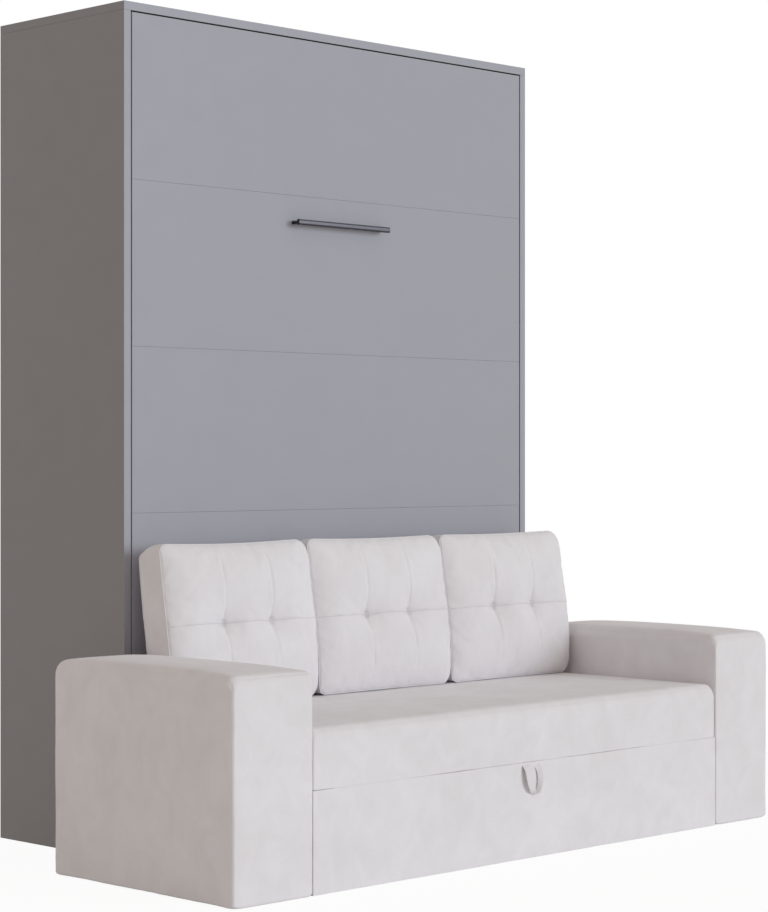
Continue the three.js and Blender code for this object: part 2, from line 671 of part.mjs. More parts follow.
// Support leg, folded away: down the rail from its hinge, then back round the mattress.
function supportLeg() {
  const elbow = legHingeHeight - LEG_ARM;
  const hinge = (sign) => new THREE.Vector3(sign * legMiddle, LEG_HINGE_BEHIND_FRONT, legHingeHeight + 14);
  const bend = (sign) => new THREE.Vector3(sign * legMiddle, LEG_HINGE_BEHIND_FRONT, elbow);
  const corner = (sign) => new THREE.Vector3(sign * legMiddle, legBarDepth, elbow);
  const route = [hinge(-1), bend(-1), corner(-1), corner(1), bend(1), hinge(1)];
  const holes = SIDES.map(([, sign]) => {
    const x = span(sign, legMiddle - 2 * LEG_RADIUS, legMiddle + 2 * LEG_RADIUS);
    return roundAlongX(LEG_PIN_RADIUS + RUNNING, x, LEG_HINGE_BEHIND_FRONT, legHingeHeight, 16);
  });
  add("support_leg", cut(tube(route, LEG_BEND, LEG_RADIUS), ...holes), FRAME_STEEL);

  for (const [side, sign] of SIDES) {
    const inner = LEG_RADIUS + TOUCH;
    const outer = glideRadius;
    const half = GLIDE_LENGTH / 2;
    const ring = [
      [inner, -half],
      [outer - 0.6, -half],
      [outer, -half + 0.6],
      [outer, half - 0.6],
      [outer - 0.6, half],
      [inner, half],
      [inner, -half],
    ];
    const glide = new THREE.LatheGeometry(ring.map(([r, h]) => new THREE.Vector2(r, h)), 20);
    const mesh = add(`leg_glide_${side}`, glide, RUBBER);
    mesh.rotation.z = Math.PI / 2;
    mesh.position.set(sign * (legMiddle - GLIDE_INSET), legBarDepth, elbow);
  }
}

// Gas springs: the cylinder turns on the cabinet side, and the rod slides in it towards the rail's stud.
function gasSprings() {
  const dy = SPRING_FOOT.y - SPRING_TOP.y;
  const dz = SPRING_FOOT.z - SPRING_TOP.z;
  const length = Math.hypot(dy, dz);
  for (const [side, sign] of SIDES) {
    const line = new THREE.Group();
    line.position.set(sign * springMiddle, SPRING_TOP.y, SPRING_TOP.z);
    line.rotation.x = Math.atan2(-dy, dz);
    furniture.add(line);

    const start = EYE_RADIUS - 2;
    const end = start + CYLINDER_LENGTH;
    const mouth = ROD_RADIUS + 1;
    const wall = [
      [0, start],
      [CYLINDER_RADIUS - 2, start],
      [CYLINDER_RADIUS, start + 4],
      [CYLINDER_RADIUS, end - 3],
      [CYLINDER_RADIUS - 1.5, end],
      [mouth, end],
      [mouth, end - CYLINDER_END_WALL],
      [CYLINDER_BORE, end - CYLINDER_END_WALL],
      [CYLINDER_BORE, start + CYLINDER_END_WALL],
      [0, start + CYLINDER_END_WALL],
    ];
    const barrel = alongLine(wall, 16);
    const topEye = eye([-EYE_THICKNESS / 2, EYE_THICKNESS / 2], 0);
    const topHole = roundAlongX(STUD_RADIUS + RUNNING, [-EYE_THICKNESS, EYE_THICKNESS], 0, 0, 16);
    add(`gas_cylinder_${side}`, cut(join(barrel, topEye), topHole), FRAME_STEEL, line);

    const rodEnd = length - EYE_RADIUS + 2;
    const rod = alongLine(
      [
        [0, PISTON_FROM_TOP],
        [PISTON_RADIUS, PISTON_FROM_TOP],
        [PISTON_RADIUS, PISTON_FROM_TOP + PISTON_LENGTH],
        [ROD_RADIUS, PISTON_FROM_TOP + PISTON_LENGTH],
        [ROD_RADIUS, rodEnd],
        [0, rodEnd],
      ],
      16,
    );
    // The socket opens towards the stud, which stops just short of it.
    const socketInner = frameHalf + STUD_STANDOFF + TOUCH - springMiddle;
    const socketOuter = EYE_THICKNESS / 2;
    const socketX = sign > 0 ? [socketInner, socketOuter] : [-socketOuter, -socketInner];
    const pocketX = sign > 0 ? [socketInner - 1, socketOuter - 3] : [3 - socketOuter, 1 - socketInner];
    const pocket = roundAlongX(STUD_RADIUS + RUNNING, pocketX, 0, length, 16);
    add(`gas_rod_${side}`, cut(join(rod, eye(socketX, length)), pocket), BRIGHT_STEEL, line);

    const outer = insideHalf - TOUCH;
    const plate = roundedRectangle(2 * SPRING_PLATE_HALF, 2 * SPRING_PLATE_HALF, 8);
    const plateX = span(sign, outer - SPRING_PLATE_STEEL, outer);
    const bracket = alongX(plate, plateX, 4).translate(0, SPRING_TOP.y, SPRING_TOP.z);
    const studX = span(sign, springMiddle - EYE_THICKNESS / 2 - 1, outer - 1);
    const stud = roundAlongX(STUD_RADIUS, studX, SPRING_TOP.y, SPRING_TOP.z, 16);
    add(`spring_bracket_${side}`, join(bracket, stud), BRIGHT_STEEL);
  }
}

function alongLine(points, sides) {
  const turned = new THREE.LatheGeometry(points.map(([r, h]) => new THREE.Vector2(r, h)), sides);
  return turned.rotateX(Math.PI / 2);
}

function eye(x, z) {
  return roundAlongX(EYE_RADIUS, x, 0, z, 20);
}

// Sofa

function sofaArms() {
  for (const [side, sign] of SIDES) {
    const outward = sign > 0 ? "x+" : "x-";
    const form = upholstered({
      x: span(sign, armInner, armInner + ARM_WIDTH),
      y: [SOFA_FRONT, ARM_BACK],
      z: [0, ARM_HEIGHT],
      round: ARM_ROUND,
      steps: [2, 3, 3],
      crown: { [outward]: 5, "y-": 5, "z+": ARM_CROWN },
      square: { "z-": true },
    });
    add(`arm_${side}`, form, VELVET);
  }
}

function seat() {
  const form = upholstered({
    x: [-seatHalf, seatHalf],
    y: [SOFA_FRONT, -TOUCH],
    z: [SEAT_BOTTOM, SEAT_TOP],
    round: SEAT_ROUND,
    steps: [4, 3, 1],
    crown: { "y-": 4, "z+": SEAT_CROWN },
    square: { "z-": true },
  });
  return add("seat_cushion", form, VELVET);
}

function sofaBox() {
  for (const [side, sign] of SIDES) {
    const x = span(sign, boardOuter - SOFA_BOARD, boardOuter);
    add(`sofa_side_${side}`, board(x, [boardFront, ARM_BACK], [0, platformBottom - TOUCH]), WHITE_BOARD);
  }
  const inner = boardOuter - SOFA_BOARD - TOUCH;
  const back = [ARM_BACK - SOFA_BOARD, ARM_BACK];
  const heights = [SOFA_BACK_HEIGHT_GAP, platformBottom - TOUCH];
  add("sofa_back_board", board([-inner, inner], back, heights), WHITE_BOARD);
  const platform = board([-boardOuter, boardOuter], [boardFront, -TOUCH], [platformBottom, platformTop]);
  add("seat_platform", platform, WHITE_BOARD);
}

// Drawer

function drawer() {
  const sideBoardInner = boardOuter - SOFA_BOARD - TOUCH;
  const runnerInner = sideBoardInner - RUNNER_DEPTH;
  const slideOuter = sideBoardInner - RUNNER_STEEL - TOUCH;
  const slideInner = runnerInner - 2;
  const drawerOuter = slideInner - TOUCH;
  const drawerInner = drawerOuter - DRAWER_SIDE;
  const runnerTop = RUNNER_BOTTOM + RUNNER_HEIGHT;
  const runnerY = [boardFront, ARM_BACK - SOFA_BOARD - RUNNER_REAR_GAP];

  for (const [side, sign] of SIDES) {
    const web = board(span(sign, sideBoardInner - RUNNER_STEEL, sideBoardInner), runnerY, [RUNNER_BOTTOM, runnerTop]);
    const lowLip = board(span(sign, runnerInner, sideBoardInner), runnerY, [RUNNER_BOTTOM, RUNNER_BOTTOM + RUNNER_STEEL]);
    const highLip = board(span(sign, runnerInner, sideBoardInner), runnerY, [runnerTop - RUNNER_STEEL, runnerTop]);
    add(`runner_${side}`, join(web, lowLip, highLip), BRIGHT_STEEL);

    const slideZ = [RUNNER_BOTTOM + SLIDE_PLAY, runnerTop - SLIDE_PLAY];
    add(`slide_${side}`, board(span(sign, slideInner, slideOuter), runnerY, slideZ), BRIGHT_STEEL);

    const sideY = [boardFront, drawerBack];
    const sideZ = [DRAWER_SIDE_BOTTOM, DRAWER_SIDE_TOP];
    add(`drawer_side_${side}`, board(span(sign, drawerInner, drawerOuter), sideY, sideZ), WHITE_BOARD);
  }

  const between = [-drawerInner + TOUCH, drawerInner - TOUCH];
  const backY = [drawerBack - DRAWER_SIDE, drawerBack];
  add("drawer_back", board(between, backY, [DRAWER_SIDE_BOTTOM, DRAWER_SIDE_TOP]), WHITE_BOARD);
  const floorZ = [DRAWER_FLOOR_HEIGHT, DRAWER_FLOOR_HEIGHT + DRAWER_FLOOR];
  add("drawer_floor", board(between, [boardFront, backY[0] - TOUCH], floorZ), WHITE_BOARD);

  const face = upholstered({
    x: [-armInner + DRAWER_FRONT_SIDE_GAP, armInner - DRAWER_FRONT_SIDE_GAP],
    y: [SOFA_FRONT, boardFront - TOUCH],
    z: [DRAWER_FRONT_BOTTOM, SEAT_BOTTOM - DRAWER_FRONT_TOP_GAP],
    round: DRAWER_FRONT_ROUND,
    steps: [4, 1, 2],
    edge: PLAIN_EDGE,
    crown: { "y-": DRAWER_FRONT_CROWN },
    square: { "y+": true },
  });
  add("drawer_front", face, VELVET);
  pullLoop();
}

// A strap sewn double under the seat's seam: down against the front, and up again in a belly.
// The loop is one strap, with its two ends sewn side by side under the seat's seam. It bellies out and
// turns its edge to the front at the bottom.
function pullLoop() {
  const top = SEAT_BOTTOM - DRAWER_FRONT_TOP_GAP - 2;
  const near = SOFA_FRONT - DRAWER_FRONT_CROWN - TOUCH;
  const route = new THREE.CatmullRomCurve3(
    LOOP_ROUTE.map(([x, out, down]) => new THREE.Vector3(LOOP_OFF_CENTRE + x, near - out, top - down)),
  );
  const lies = new THREE.CatmullRomCurve3(LOOP_ROUTE.map(([, , , x, out, up]) => new THREE.Vector3(x, -out, up)));
  const breadth = new THREE.CatmullRomCurve3(LOOP_ROUTE.map((row) => new THREE.Vector3(row[6], 0, 0)));
  const corners = [];
  for (let i = 0; i <= LOOP_STEPS; i++) {
    const t = i / LOOP_STEPS;
    const middle = route.getPoint(t);
    const along = route.getTangent(t);
    const across = lies.getPoint(t);
    across.addScaledVector(along, -across.dot(along)).normalize();
    const through = new THREE.Vector3().crossVectors(along, across);
    const half = breadth.getPoint(t).x;
    for (const [u, v] of LOOP_SECTION) {
      const corner = middle.clone().addScaledVector(across, u * (half - LOOP_EDGE) + Math.sign(u) * LOOP_EDGE * (1 - v * v));
      corners.push(corner.addScaledVector(through, (v * LOOP_THICKNESS) / 2));
    }
  }
  const faces = [];
  const sides = LOOP_SECTION.length;
  for (let i = 0; i < LOOP_STEPS; i++) {
    for (let k = 0; k < sides; k++) {
      const [a, b] = [i * sides + k, i * sides + ((k + 1) % sides)];
      faces.push(a, b, b + sides, a, b + sides, a + sides);
    }
  }
  const last = LOOP_STEPS * sides;
  for (let k = 1; k < sides - 1; k++) {
    faces.push(0, k + 1, k, last, last + k, last + k + 1);
  }
  const loop = new THREE.BufferGeometry();
  loop.setAttribute("position", new THREE.Float32BufferAttribute(corners.flatMap((corner) => corner.toArray()), 3));
  loop.setIndex(faces);
  loop.computeVertexNormals();
  add("pull_loop", loop, VELVET);
}

// Back cushions

// Stations that follow the round edge, the channels and the tufts.
function cushionStations(half, channels) {
  const near = channels.flatMap((at) => [at - CHANNEL_HALF_WIDTH, at, at + CHANNEL_HALF_WIDTH]);
  const wide = channels.flatMap((at) => [at - 2.6 * CHANNEL_HALF_WIDTH, at + 2.6 * CHANNEL_HALF_WIDTH]);
  const edge = CUSHION_EDGE_STATIONS.map((inset) => half - inset);
  const all = [...near, ...wide, ...edge, ...edge.map((v) => -v)];
  if (channels.length > 1) {
    all.push(0);
  }
  const sorted = all.sort((a, b) => a - b);
  const spaced = sorted.filter((v, i) => i === 0 || v - sorted[i - 1] > 3);
  return spaced.map((v) => v / half);
}

function groove(distance) {
  return Math.exp(-((distance / CHANNEL_HALF_WIDTH) ** 2));
}

// The stuffing's dome, from 1 in the middle to 0 at the welted seam.
function stuffing(a, c) {
  return (dome(a, 2.6) * dome(c, 2.6)) ** 0.62;
}

// How far the front face stands off the welted seam's plane at a point of the cushion.
function cushionFace(x, z, halfX, halfZ) {
  const puff = stuffing(x / halfX, z / halfZ);
  const channelX = Math.max(...[-1, 1].map((s) => groove(x - s * TUFT_FROM_CENTRE)));
  const channel = Math.max(channelX, groove(z));
  const tuft = [-1, 1].reduce((sum, s) => {
    const distance = Math.hypot(x - s * TUFT_FROM_CENTRE, z);
    return sum + Math.exp(-((distance / TUFT_REACH) ** 2));
  }, 0);
  return CUSHION_FRONT_CROWN * puff - puff * (CHANNEL_DEPTH * channel + (TUFT_DEPTH - CHANNEL_DEPTH) * tuft);
}

function backCushion() {
  const halfX = cushionWidth / 2;
  const halfZ = CUSHION_HEIGHT / 2;
  const stationsX = cushionStations(halfX, [-TUFT_FROM_CENTRE, TUFT_FROM_CENTRE]);
  const stationsZ = cushionStations(halfZ, [0]);
  return padded(stationsX, [-1, -0.35, 0.35, 1], stationsZ, (a, b, c) => {
    const belly = CUSHION_SIDE_BELLY * dome(b);
    const corner = Math.max(Math.abs(a), Math.abs(c)) === 1 ? 1 : 0;
    // The outline: corners are rounded, and the sides pull in a little between them.
    const limitX = halfX - CUSHION_CORNER;
    const limitZ = halfZ - CUSHION_CORNER;
    let x = a * halfX;
    let z = c * halfZ;
    const overX = Math.max(0, Math.abs(x) - limitX);
    const overZ = Math.max(0, Math.abs(z) - limitZ);
    if (overX > 0 && overZ > 0) {
      const shrink = Math.max(overX, overZ) / Math.hypot(overX, overZ);
      x = Math.sign(x) * (limitX + overX * shrink);
      z = Math.sign(z) * (limitZ + overZ * shrink);
    }
    x += a * (belly * corner - CUSHION_DRAW_IN * dome(c));
    z += c * (belly * corner - CUSHION_DRAW_IN * dome(a));
    let y = (b * CUSHION_GUSSET) / 2;
    if (b === -1) {
      y -= cushionFace(a * halfX, c * halfZ, halfX, halfZ);
    }
    if (b === 1) {
      y += CUSHION_BACK_CROWN * stuffing(a, c);
    }
    return [x, y, z];
  });
}

// The cushions stand on the seat and lean on the door.
function backCushions(seatCushion) {
  CUSHIONS.forEach((place, i) => {
    const cushion = add(`back_cushion_${place}`, backCushion(), VELVET);
    cushion.rotation.x = -THREE.MathUtils.degToRad(CUSHION_LEAN);
    cushion.position.set((i - 1) * (cushionWidth + CUSHION_GAP), 0, SEAT_TOP + CUSHION_HEIGHT);
    root.updateMatrixWorld(true);
    const rear = new THREE.Box3().setFromObject(cushion, true).max.y + frontToBackMiddle;
    cushion.position.y = -TOUCH - rear;
    root.updateMatrixWorld(true);
    cushion.position.z -= heightOver(seatCushion, cushion) - TOUCH;
  });
}

// How far a piece can drop before its lowest point lands on the support.
function heightOver(support, piece) {
  const down = new THREE.Vector3(0, 0, -1);
  const caster = new THREE.Raycaster();
  const corners = piece.geometry.attributes.position;
  let height = Infinity;
  for (let i = 0; i < corners.count; i++) {
    const corner = new THREE.Vector3().fromBufferAttribute(corners, i).applyMatrix4(piece.matrixWorld);
    caster.set(corner, down);
    const [hit] = caster.intersectObject(support);
    if (hit) {
      height = Math.min(height, hit.distance);
    }
  }
  return height;
}

cabinet();
pivots();
door();
handle();
bedFrame();
railFasteners();
mattress();
supportLeg();
gasSprings();
sofaArms();
const seatCushion = seat();
sofaBox();
drawer();
backCushions(seatCushion);

export default root;
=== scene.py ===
"""Looks of a wall bed with sofa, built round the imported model. Metres, +Z up, the sofa's front towards -Y."""

import json
import math

import bmesh
import bpy
import numpy as np
from mathutils import Matrix, Vector, noise

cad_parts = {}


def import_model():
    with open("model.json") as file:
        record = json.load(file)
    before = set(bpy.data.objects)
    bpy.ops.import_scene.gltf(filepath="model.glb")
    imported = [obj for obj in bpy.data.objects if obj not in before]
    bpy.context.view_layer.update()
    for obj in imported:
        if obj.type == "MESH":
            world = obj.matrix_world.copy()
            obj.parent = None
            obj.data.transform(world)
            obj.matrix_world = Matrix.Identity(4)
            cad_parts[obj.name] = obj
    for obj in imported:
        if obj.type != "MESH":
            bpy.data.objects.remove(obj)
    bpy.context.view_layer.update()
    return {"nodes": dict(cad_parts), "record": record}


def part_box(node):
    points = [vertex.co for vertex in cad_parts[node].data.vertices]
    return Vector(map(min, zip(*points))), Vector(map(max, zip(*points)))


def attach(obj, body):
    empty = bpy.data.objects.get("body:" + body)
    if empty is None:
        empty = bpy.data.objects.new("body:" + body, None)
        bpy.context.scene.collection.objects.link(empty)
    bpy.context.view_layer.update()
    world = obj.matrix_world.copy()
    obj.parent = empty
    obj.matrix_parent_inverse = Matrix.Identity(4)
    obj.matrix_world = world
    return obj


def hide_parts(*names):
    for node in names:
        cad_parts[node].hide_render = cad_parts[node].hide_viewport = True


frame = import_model()

MM = 0.001


# Meshes


def placed(name, data):
    thing = bpy.data.objects.new(name, data)
    bpy.context.scene.collection.objects.link(thing)
    return thing


def new_object(name, mesh, material):
    mesh.materials.append(material)
    mesh.polygons.foreach_set("use_smooth", [True] * len(mesh.polygons))
    return placed(name, mesh)


def mesh_object(name, points, faces, material):
    mesh = bpy.data.meshes.new(name)
    mesh.from_pydata([tuple(p) for p in points], [], faces)
    mesh.validate()
    return new_object(name, mesh, material)


def bmesh_object(name, shape, material):
    mesh = bpy.data.meshes.new(name)
    bmesh.ops.recalc_face_normals(shape, faces=shape.faces)
    shape.to_mesh(mesh)
    shape.free()
    return new_object(name, mesh, material)


def vectors(rows, field):
    values = np.zeros(len(rows) * 3)
    rows.foreach_get(field, values)
    return values.reshape(-1, 3)


def points_of(thing):
    return vectors(thing.data.vertices, "co")


def normals_of(thing):
    return vectors(thing.data.vertex_normals, "vector")


def move_points(thing, points):
    thing.data.vertices.foreach_set("co", np.asarray(points, float).ravel())
    thing.data.update()


def push_out(thing, offset):
    """Moves each point along its normal."""
    move_points(thing, points_of(thing) + normals_of(thing) * offset[:, None])


def evaluated_mesh(thing):
    depsgraph = bpy.context.evaluated_depsgraph_get()
    return bpy.data.meshes.new_from_object(thing.evaluated_get(depsgraph))


def apply_modifiers(thing):
    mesh = evaluated_mesh(thing)
    thing.modifiers.clear()
    old = thing.data
    thing.data = mesh
    bpy.data.meshes.remove(old)


def smooth_by_subdivision(thing):
    subdivision = thing.modifiers.new("subdivision", "SUBSURF")
    subdivision.levels = 1
    subdivision.render_levels = 1
    apply_modifiers(thing)
    thing.data.polygons.foreach_set("use_smooth", [True] * len(thing.data.polygons))


def finish_piece(thing, body, slot, *nodes):
    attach(thing, body)
    if nodes:
        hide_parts(*nodes)


def box_shell(xs, ys, zs):
    """A closed box of quads with its points at the given stations, and its faces pointing out."""
    stations = (xs, ys, zs)
    index = {}
    points = []
    faces = []

    def point_at(key):
        if key not in index:
            index[key] = len(points)
            points.append([stations[axis][key[axis]] for axis in range(3)])
        return index[key]

    for axis in range(3):
        across, along = (axis + 1) % 3, (axis + 2) % 3
        for end in (0, len(stations[axis]) - 1):
            for i in range(len(stations[across]) - 1):
                for j in range(len(stations[along]) - 1):
                    ring = []
                    for di, dj in ((0, 0), (1, 0), (1, 1), (0, 1)):
                        key = [0, 0, 0]
                        key[axis] = end
                        key[across] = i + di
                        key[along] = j + dj
                        ring.append(point_at(tuple(key)))
                    faces.append(ring if end else ring[::-1])
    return np.array(points, float), faces


def noise_at(points, scale, seed):
    """Smooth noise from -1 to 1 at each point, at features of about 1 / scale metres."""
    shift = Vector((seed * 7.31, seed * 3.17, seed * 11.73))
    return np.array([noise.noise(Vector(p) * scale + shift) for p in points])


def unit(values):
    return np.clip(values, 0, 1)


def bell(distance, width, place=0.0):
    """1 at the place, and near 0 a few widths from it."""
    return np.exp(-(((distance - place) / width) ** 2))


# Materials


class Nodes:
    """The nodes of a material or a world, with short ways to add and to link them."""

    def __init__(self, owner):
        owner.use_nodes = True
        self.nodes = owner.node_tree.nodes
        self.links = owner.node_tree.links

    def add(self, kind, inputs=None, **settings):
        node = self.nodes.new("ShaderNode" + kind)
        for key, value in settings.items():
            setattr(node, key, value)
        for key, value in (inputs or {}).items():
            if isinstance(value, bpy.types.NodeSocket):
                self.links.new(value, node.inputs[key])
            else:
                node.inputs[key].default_value = value
        return node

    def math(self, operation, a, b=0.0):
        return self.add("Math", {0: a, 1: b}, operation=operation).outputs[0]

    def show(self, factor, first, second, output):
        """Shows the first shader, or the second where the factor is 1."""
        blend = self.add("MixShader", {0: factor, 1: first, 2: second})
        self.links.new(blend.outputs[0], self.nodes[output].inputs["Surface"])


class Material(Nodes):
    """A material with its textures in the piece's own space."""

    def __init__(self, name, **shader_values):
        self.material = bpy.data.materials.new(name)
        super().__init__(self.material)
        self.shader = self.nodes["Principled BSDF"]
        for socket, value in shader_values.items():
            self.shader.inputs[socket.replace("_", " ")].default_value = value

    def object_space(self, scale=(1, 1, 1), turn=(0, 0, 0)):
        coordinates = self.add("TexCoord")
        inputs = {"Vector": coordinates.outputs["Object"], "Scale": scale, "Rotation": turn}
        return self.add("Mapping", inputs).outputs["Vector"]

    def noise(self, vector, scale, detail=2.0, roughness=0.5, distortion=0.0):
        inputs = {"Vector": vector, "Scale": scale, "Detail": detail}
        inputs |= {"Roughness": roughness, "Distortion": distortion}
        return self.add("TexNoise", inputs).outputs["Fac"]

    def wave(self, vector, scale, axis, distortion, detail=2.0):
        inputs = {"Vector": vector, "Scale": scale, "Distortion": distortion, "Detail": detail}
        return self.add("TexWave", inputs, bands_direction=axis).outputs["Fac"]

    def spread(self, value, low, high, to_low=0.0, to_high=1.0):
        inputs = {0: value, 1: low, 2: high, 3: to_low, 4: to_high}
        return self.add("MapRange", inputs).outputs[0]

    def mix(self, factor, first, second):
        inputs = {0: factor, 6: first, 7: second}
        return self.add("Mix", inputs, data_type="RGBA").outputs[2]

    def bump(self, height, distance, strength=1.0, normal=None):
        inputs = {"Height": height, "Distance": distance, "Strength": strength}
        if normal is not None:
            inputs["Normal"] = normal
        return self.add("Bump", inputs).outputs["Normal"]

    def set(self, **links):
        for socket, value in links.items():
            self.links.new(value, self.shader.inputs[socket.replace("_", " ")])
        return self.material


def shade(colour, factor):
    return (*[min(1.0, c * factor) for c in colour[:3]], 1.0)


BOARD_GRAIN = 0.012


def board_material(name, colour, roughness):
    """Matt laminate or lacquer: a faint cloudiness, a fine pearl texture and slightly uneven gloss."""
    m = Material(name, Specular_IOR_Level=0.35)
    space = m.object_space()
    cloud = m.noise(space, 2.2, 3.0)
    speck = m.noise(space, 900.0, 2.0, 0.6)
    tone = m.math("ADD", m.spread(cloud, 0.3, 0.7, 0.25, 0.75), m.spread(speck, 0.35, 0.65, -0.12, 0.12))
    base = m.mix(tone, shade(colour, 1 - BOARD_GRAIN), shade(colour, 1 + BOARD_GRAIN))
    pearl = m.noise(space, 1500.0, 1.0)
    wave = m.noise(space, 60.0)
    gloss = m.spread(m.noise(space, 14.0, 3.0, 0.6), 0.3, 0.7, roughness - 0.03, roughness + 0.05)
    normal = m.bump(pearl, 0.00004, 0.5, m.bump(wave, 0.00025, 0.12))
    return m.set(Base_Color=base, Roughness=gloss, Normal=normal)


def metal_material(name, colour, roughness, brushed=False):
    """Metal with fine scratches, drawn out along X where it is brushed."""
    m = Material(name, Metallic=1.0)
    space = m.object_space((0.02, 1, 1) if brushed else (1, 1, 1))
    scratch = m.noise(space, 1400.0 if brushed else 260.0, 3.0, 0.6)
    smudge = m.noise(m.object_space(), 18.0, 3.0, 0.6)
    base = m.mix(m.spread(scratch, 0.3, 0.7), shade(colour, 0.9), shade(colour, 1.08))
    scratched = m.spread(scratch, 0.3, 0.7, roughness - 0.05, roughness + 0.05)
    rough = m.math("ADD", scratched, m.spread(smudge, 0.3, 0.7, -0.03, 0.05))
    return m.set(Base_Color=base, Roughness=rough, Normal=m.bump(scratch, 0.00003, 0.4))


def powder_coat_material(name, colour):
    m = Material(name, Specular_IOR_Level=0.5)
    space = m.object_space()
    orange_peel = m.noise(space, 700.0)
    dust = m.noise(space, 9.0, 4.0, 0.6)
    base = m.mix(m.spread(dust, 0.35, 0.7), shade(colour, 0.9), shade(colour, 1.25))
    rough = m.spread(m.noise(space, 40.0, 3.0, 0.6), 0.3, 0.7, 0.42, 0.55)
    return m.set(Base_Color=base, Roughness=rough, Normal=m.bump(orange_peel, 0.00012, 0.5))


def beech_material():
    """Lacquered beech: long fibres and short dark flecks along X, and a tone of its own for each slat."""
    m = Material("beech", Specular_IOR_Level=0.45, Coat_Weight=0.15, Coat_Roughness=0.3)
    fibres = m.noise(m.object_space((2.0, 60.0, 60.0)), 4.0, 6.0, 0.65, 0.4)
    flecks = m.noise(m.object_space((30.0, 900.0, 900.0)), 1.0)
    slat_tone = m.noise(m.object_space((0.1, 0.1, 6.5)), 3.0, 0.0)
    pale = (0.74, 0.53, 0.335, 1)
    dark = (0.56, 0.36, 0.2, 1)
    base = m.mix(m.spread(fibres, 0.3, 0.72), pale, dark)
    base = m.mix(m.spread(flecks, 0.64, 0.72, 0.0, 0.45), base, (0.33, 0.19, 0.1, 1))
    base = m.mix(m.spread(slat_tone, 0.35, 0.65, 0.0, 0.35), base, (0.83, 0.64, 0.43, 1))
    rough = m.spread(fibres, 0.3, 0.7, 0.34, 0.5)
    return m.set(Base_Color=base, Roughness=rough, Normal=m.bump(fibres, 0.0002, 0.25))


def rubber_material():
    m = Material("rubber", Specular_IOR_Level=0.3)
    space = m.object_space()
    grain = m.noise(space, 1100.0, 2.0, 0.6)
    dust = m.noise(space, 60.0, 4.0, 0.6)
    base = m.mix(m.spread(dust, 0.4, 0.7, 0.0, 0.5), (0.012, 0.012, 0.013, 1), (0.05, 0.05, 0.05, 1))
    rough = m.spread(dust, 0.3, 0.7, 0.68, 0.85)
    return m.set(Base_Color=base, Roughness=rough, Normal=m.bump(grain, 0.0001, 0.4))


VELVET = (0.805, 0.782, 0.803)


def velvet_material(name="velvet", colour=VELVET, mottle=0.055):
    """Short-pile velvet: patches where the pile lies another way, a fine nap, and sheen at flat angles."""
    m = Material(name, Specular_IOR_Level=0.12, Sheen_Weight=0.22, Sheen_Roughness=0.45, Roughness=0.95)
    m.shader.inputs["Sheen Tint"].default_value = (1.0, 0.98, 0.98, 1)
    space = m.object_space()
    strokes = m.noise(m.object_space((1.0, 1.0, 0.8), (0.15, 0.1, 0.2)), 14.0, 5.0, 0.62, 0.9)
    patches = m.noise(space, 5.0, 3.0, 0.5, 0.5)
    nap = m.noise(space, 420.0, 3.0, 0.7)
    tone = m.math("ADD", m.spread(strokes, 0.34, 0.66, -0.5, 0.5), m.spread(patches, 0.35, 0.65, -0.35, 0.35))
    tone = m.math("ADD", tone, m.spread(nap, 0.3, 0.7, -0.3, 0.3))
    factor = m.spread(tone, -1.0, 1.0)
    warm = tuple(c * (1 - mottle) * w for c, w in zip(colour, (1.0, 0.985, 0.98)))
    base = m.mix(factor, (*warm, 1), shade(colour, 1 + mottle * 0.7))
    fibre = m.noise(space, 1600.0, 2.0, 0.7)
    lie = m.noise(m.object_space((1.0, 1.0, 0.6)), 26.0, 4.0, 0.6, 0.6)
    normal = m.bump(fibre, 0.00035, 0.35, m.bump(lie, 0.0012, 0.22))
    return m.set(Base_Color=base, Normal=normal)


def ticking_material():
    """The mattress's knitted cover: rows of small loops."""
    m = Material("ticking", Specular_IOR_Level=0.15, Sheen_Weight=0.15, Roughness=0.9)
    space = m.object_space()
    knit, cross = (m.wave(space, 260.0, axis, 1.2, 1.0) for axis in "XZ")
    loops = m.math("MULTIPLY", knit, cross)
    cloud = m.noise(space, 7.0, 3.0)
    base = m.mix(m.spread(loops, 0.0, 1.0), (0.72, 0.71, 0.69, 1), (0.83, 0.82, 0.8, 1))
    base = m.mix(m.spread(cloud, 0.35, 0.7, 0.0, 0.3), base, (0.78, 0.765, 0.735, 1))
    return m.set(Base_Color=base, Normal=m.bump(loops, 0.0004, 0.35))


def webbing_material():
    m = Material("webbing", Specular_IOR_Level=0.2, Roughness=0.8)
    space = m.object_space()
    across, deep, along = (m.wave(space, 420.0, axis, 0.3) for axis in "XYZ")
    threads = m.math("MAXIMUM", m.math("MULTIPLY", across, along), m.math("MULTIPLY", deep, along))
    base = m.mix(threads, (0.018, 0.018, 0.022, 1), (0.06, 0.06, 0.07, 1))
    return m.set(Base_Color=base, Normal=m.bump(threads, 0.0004, 0.5))


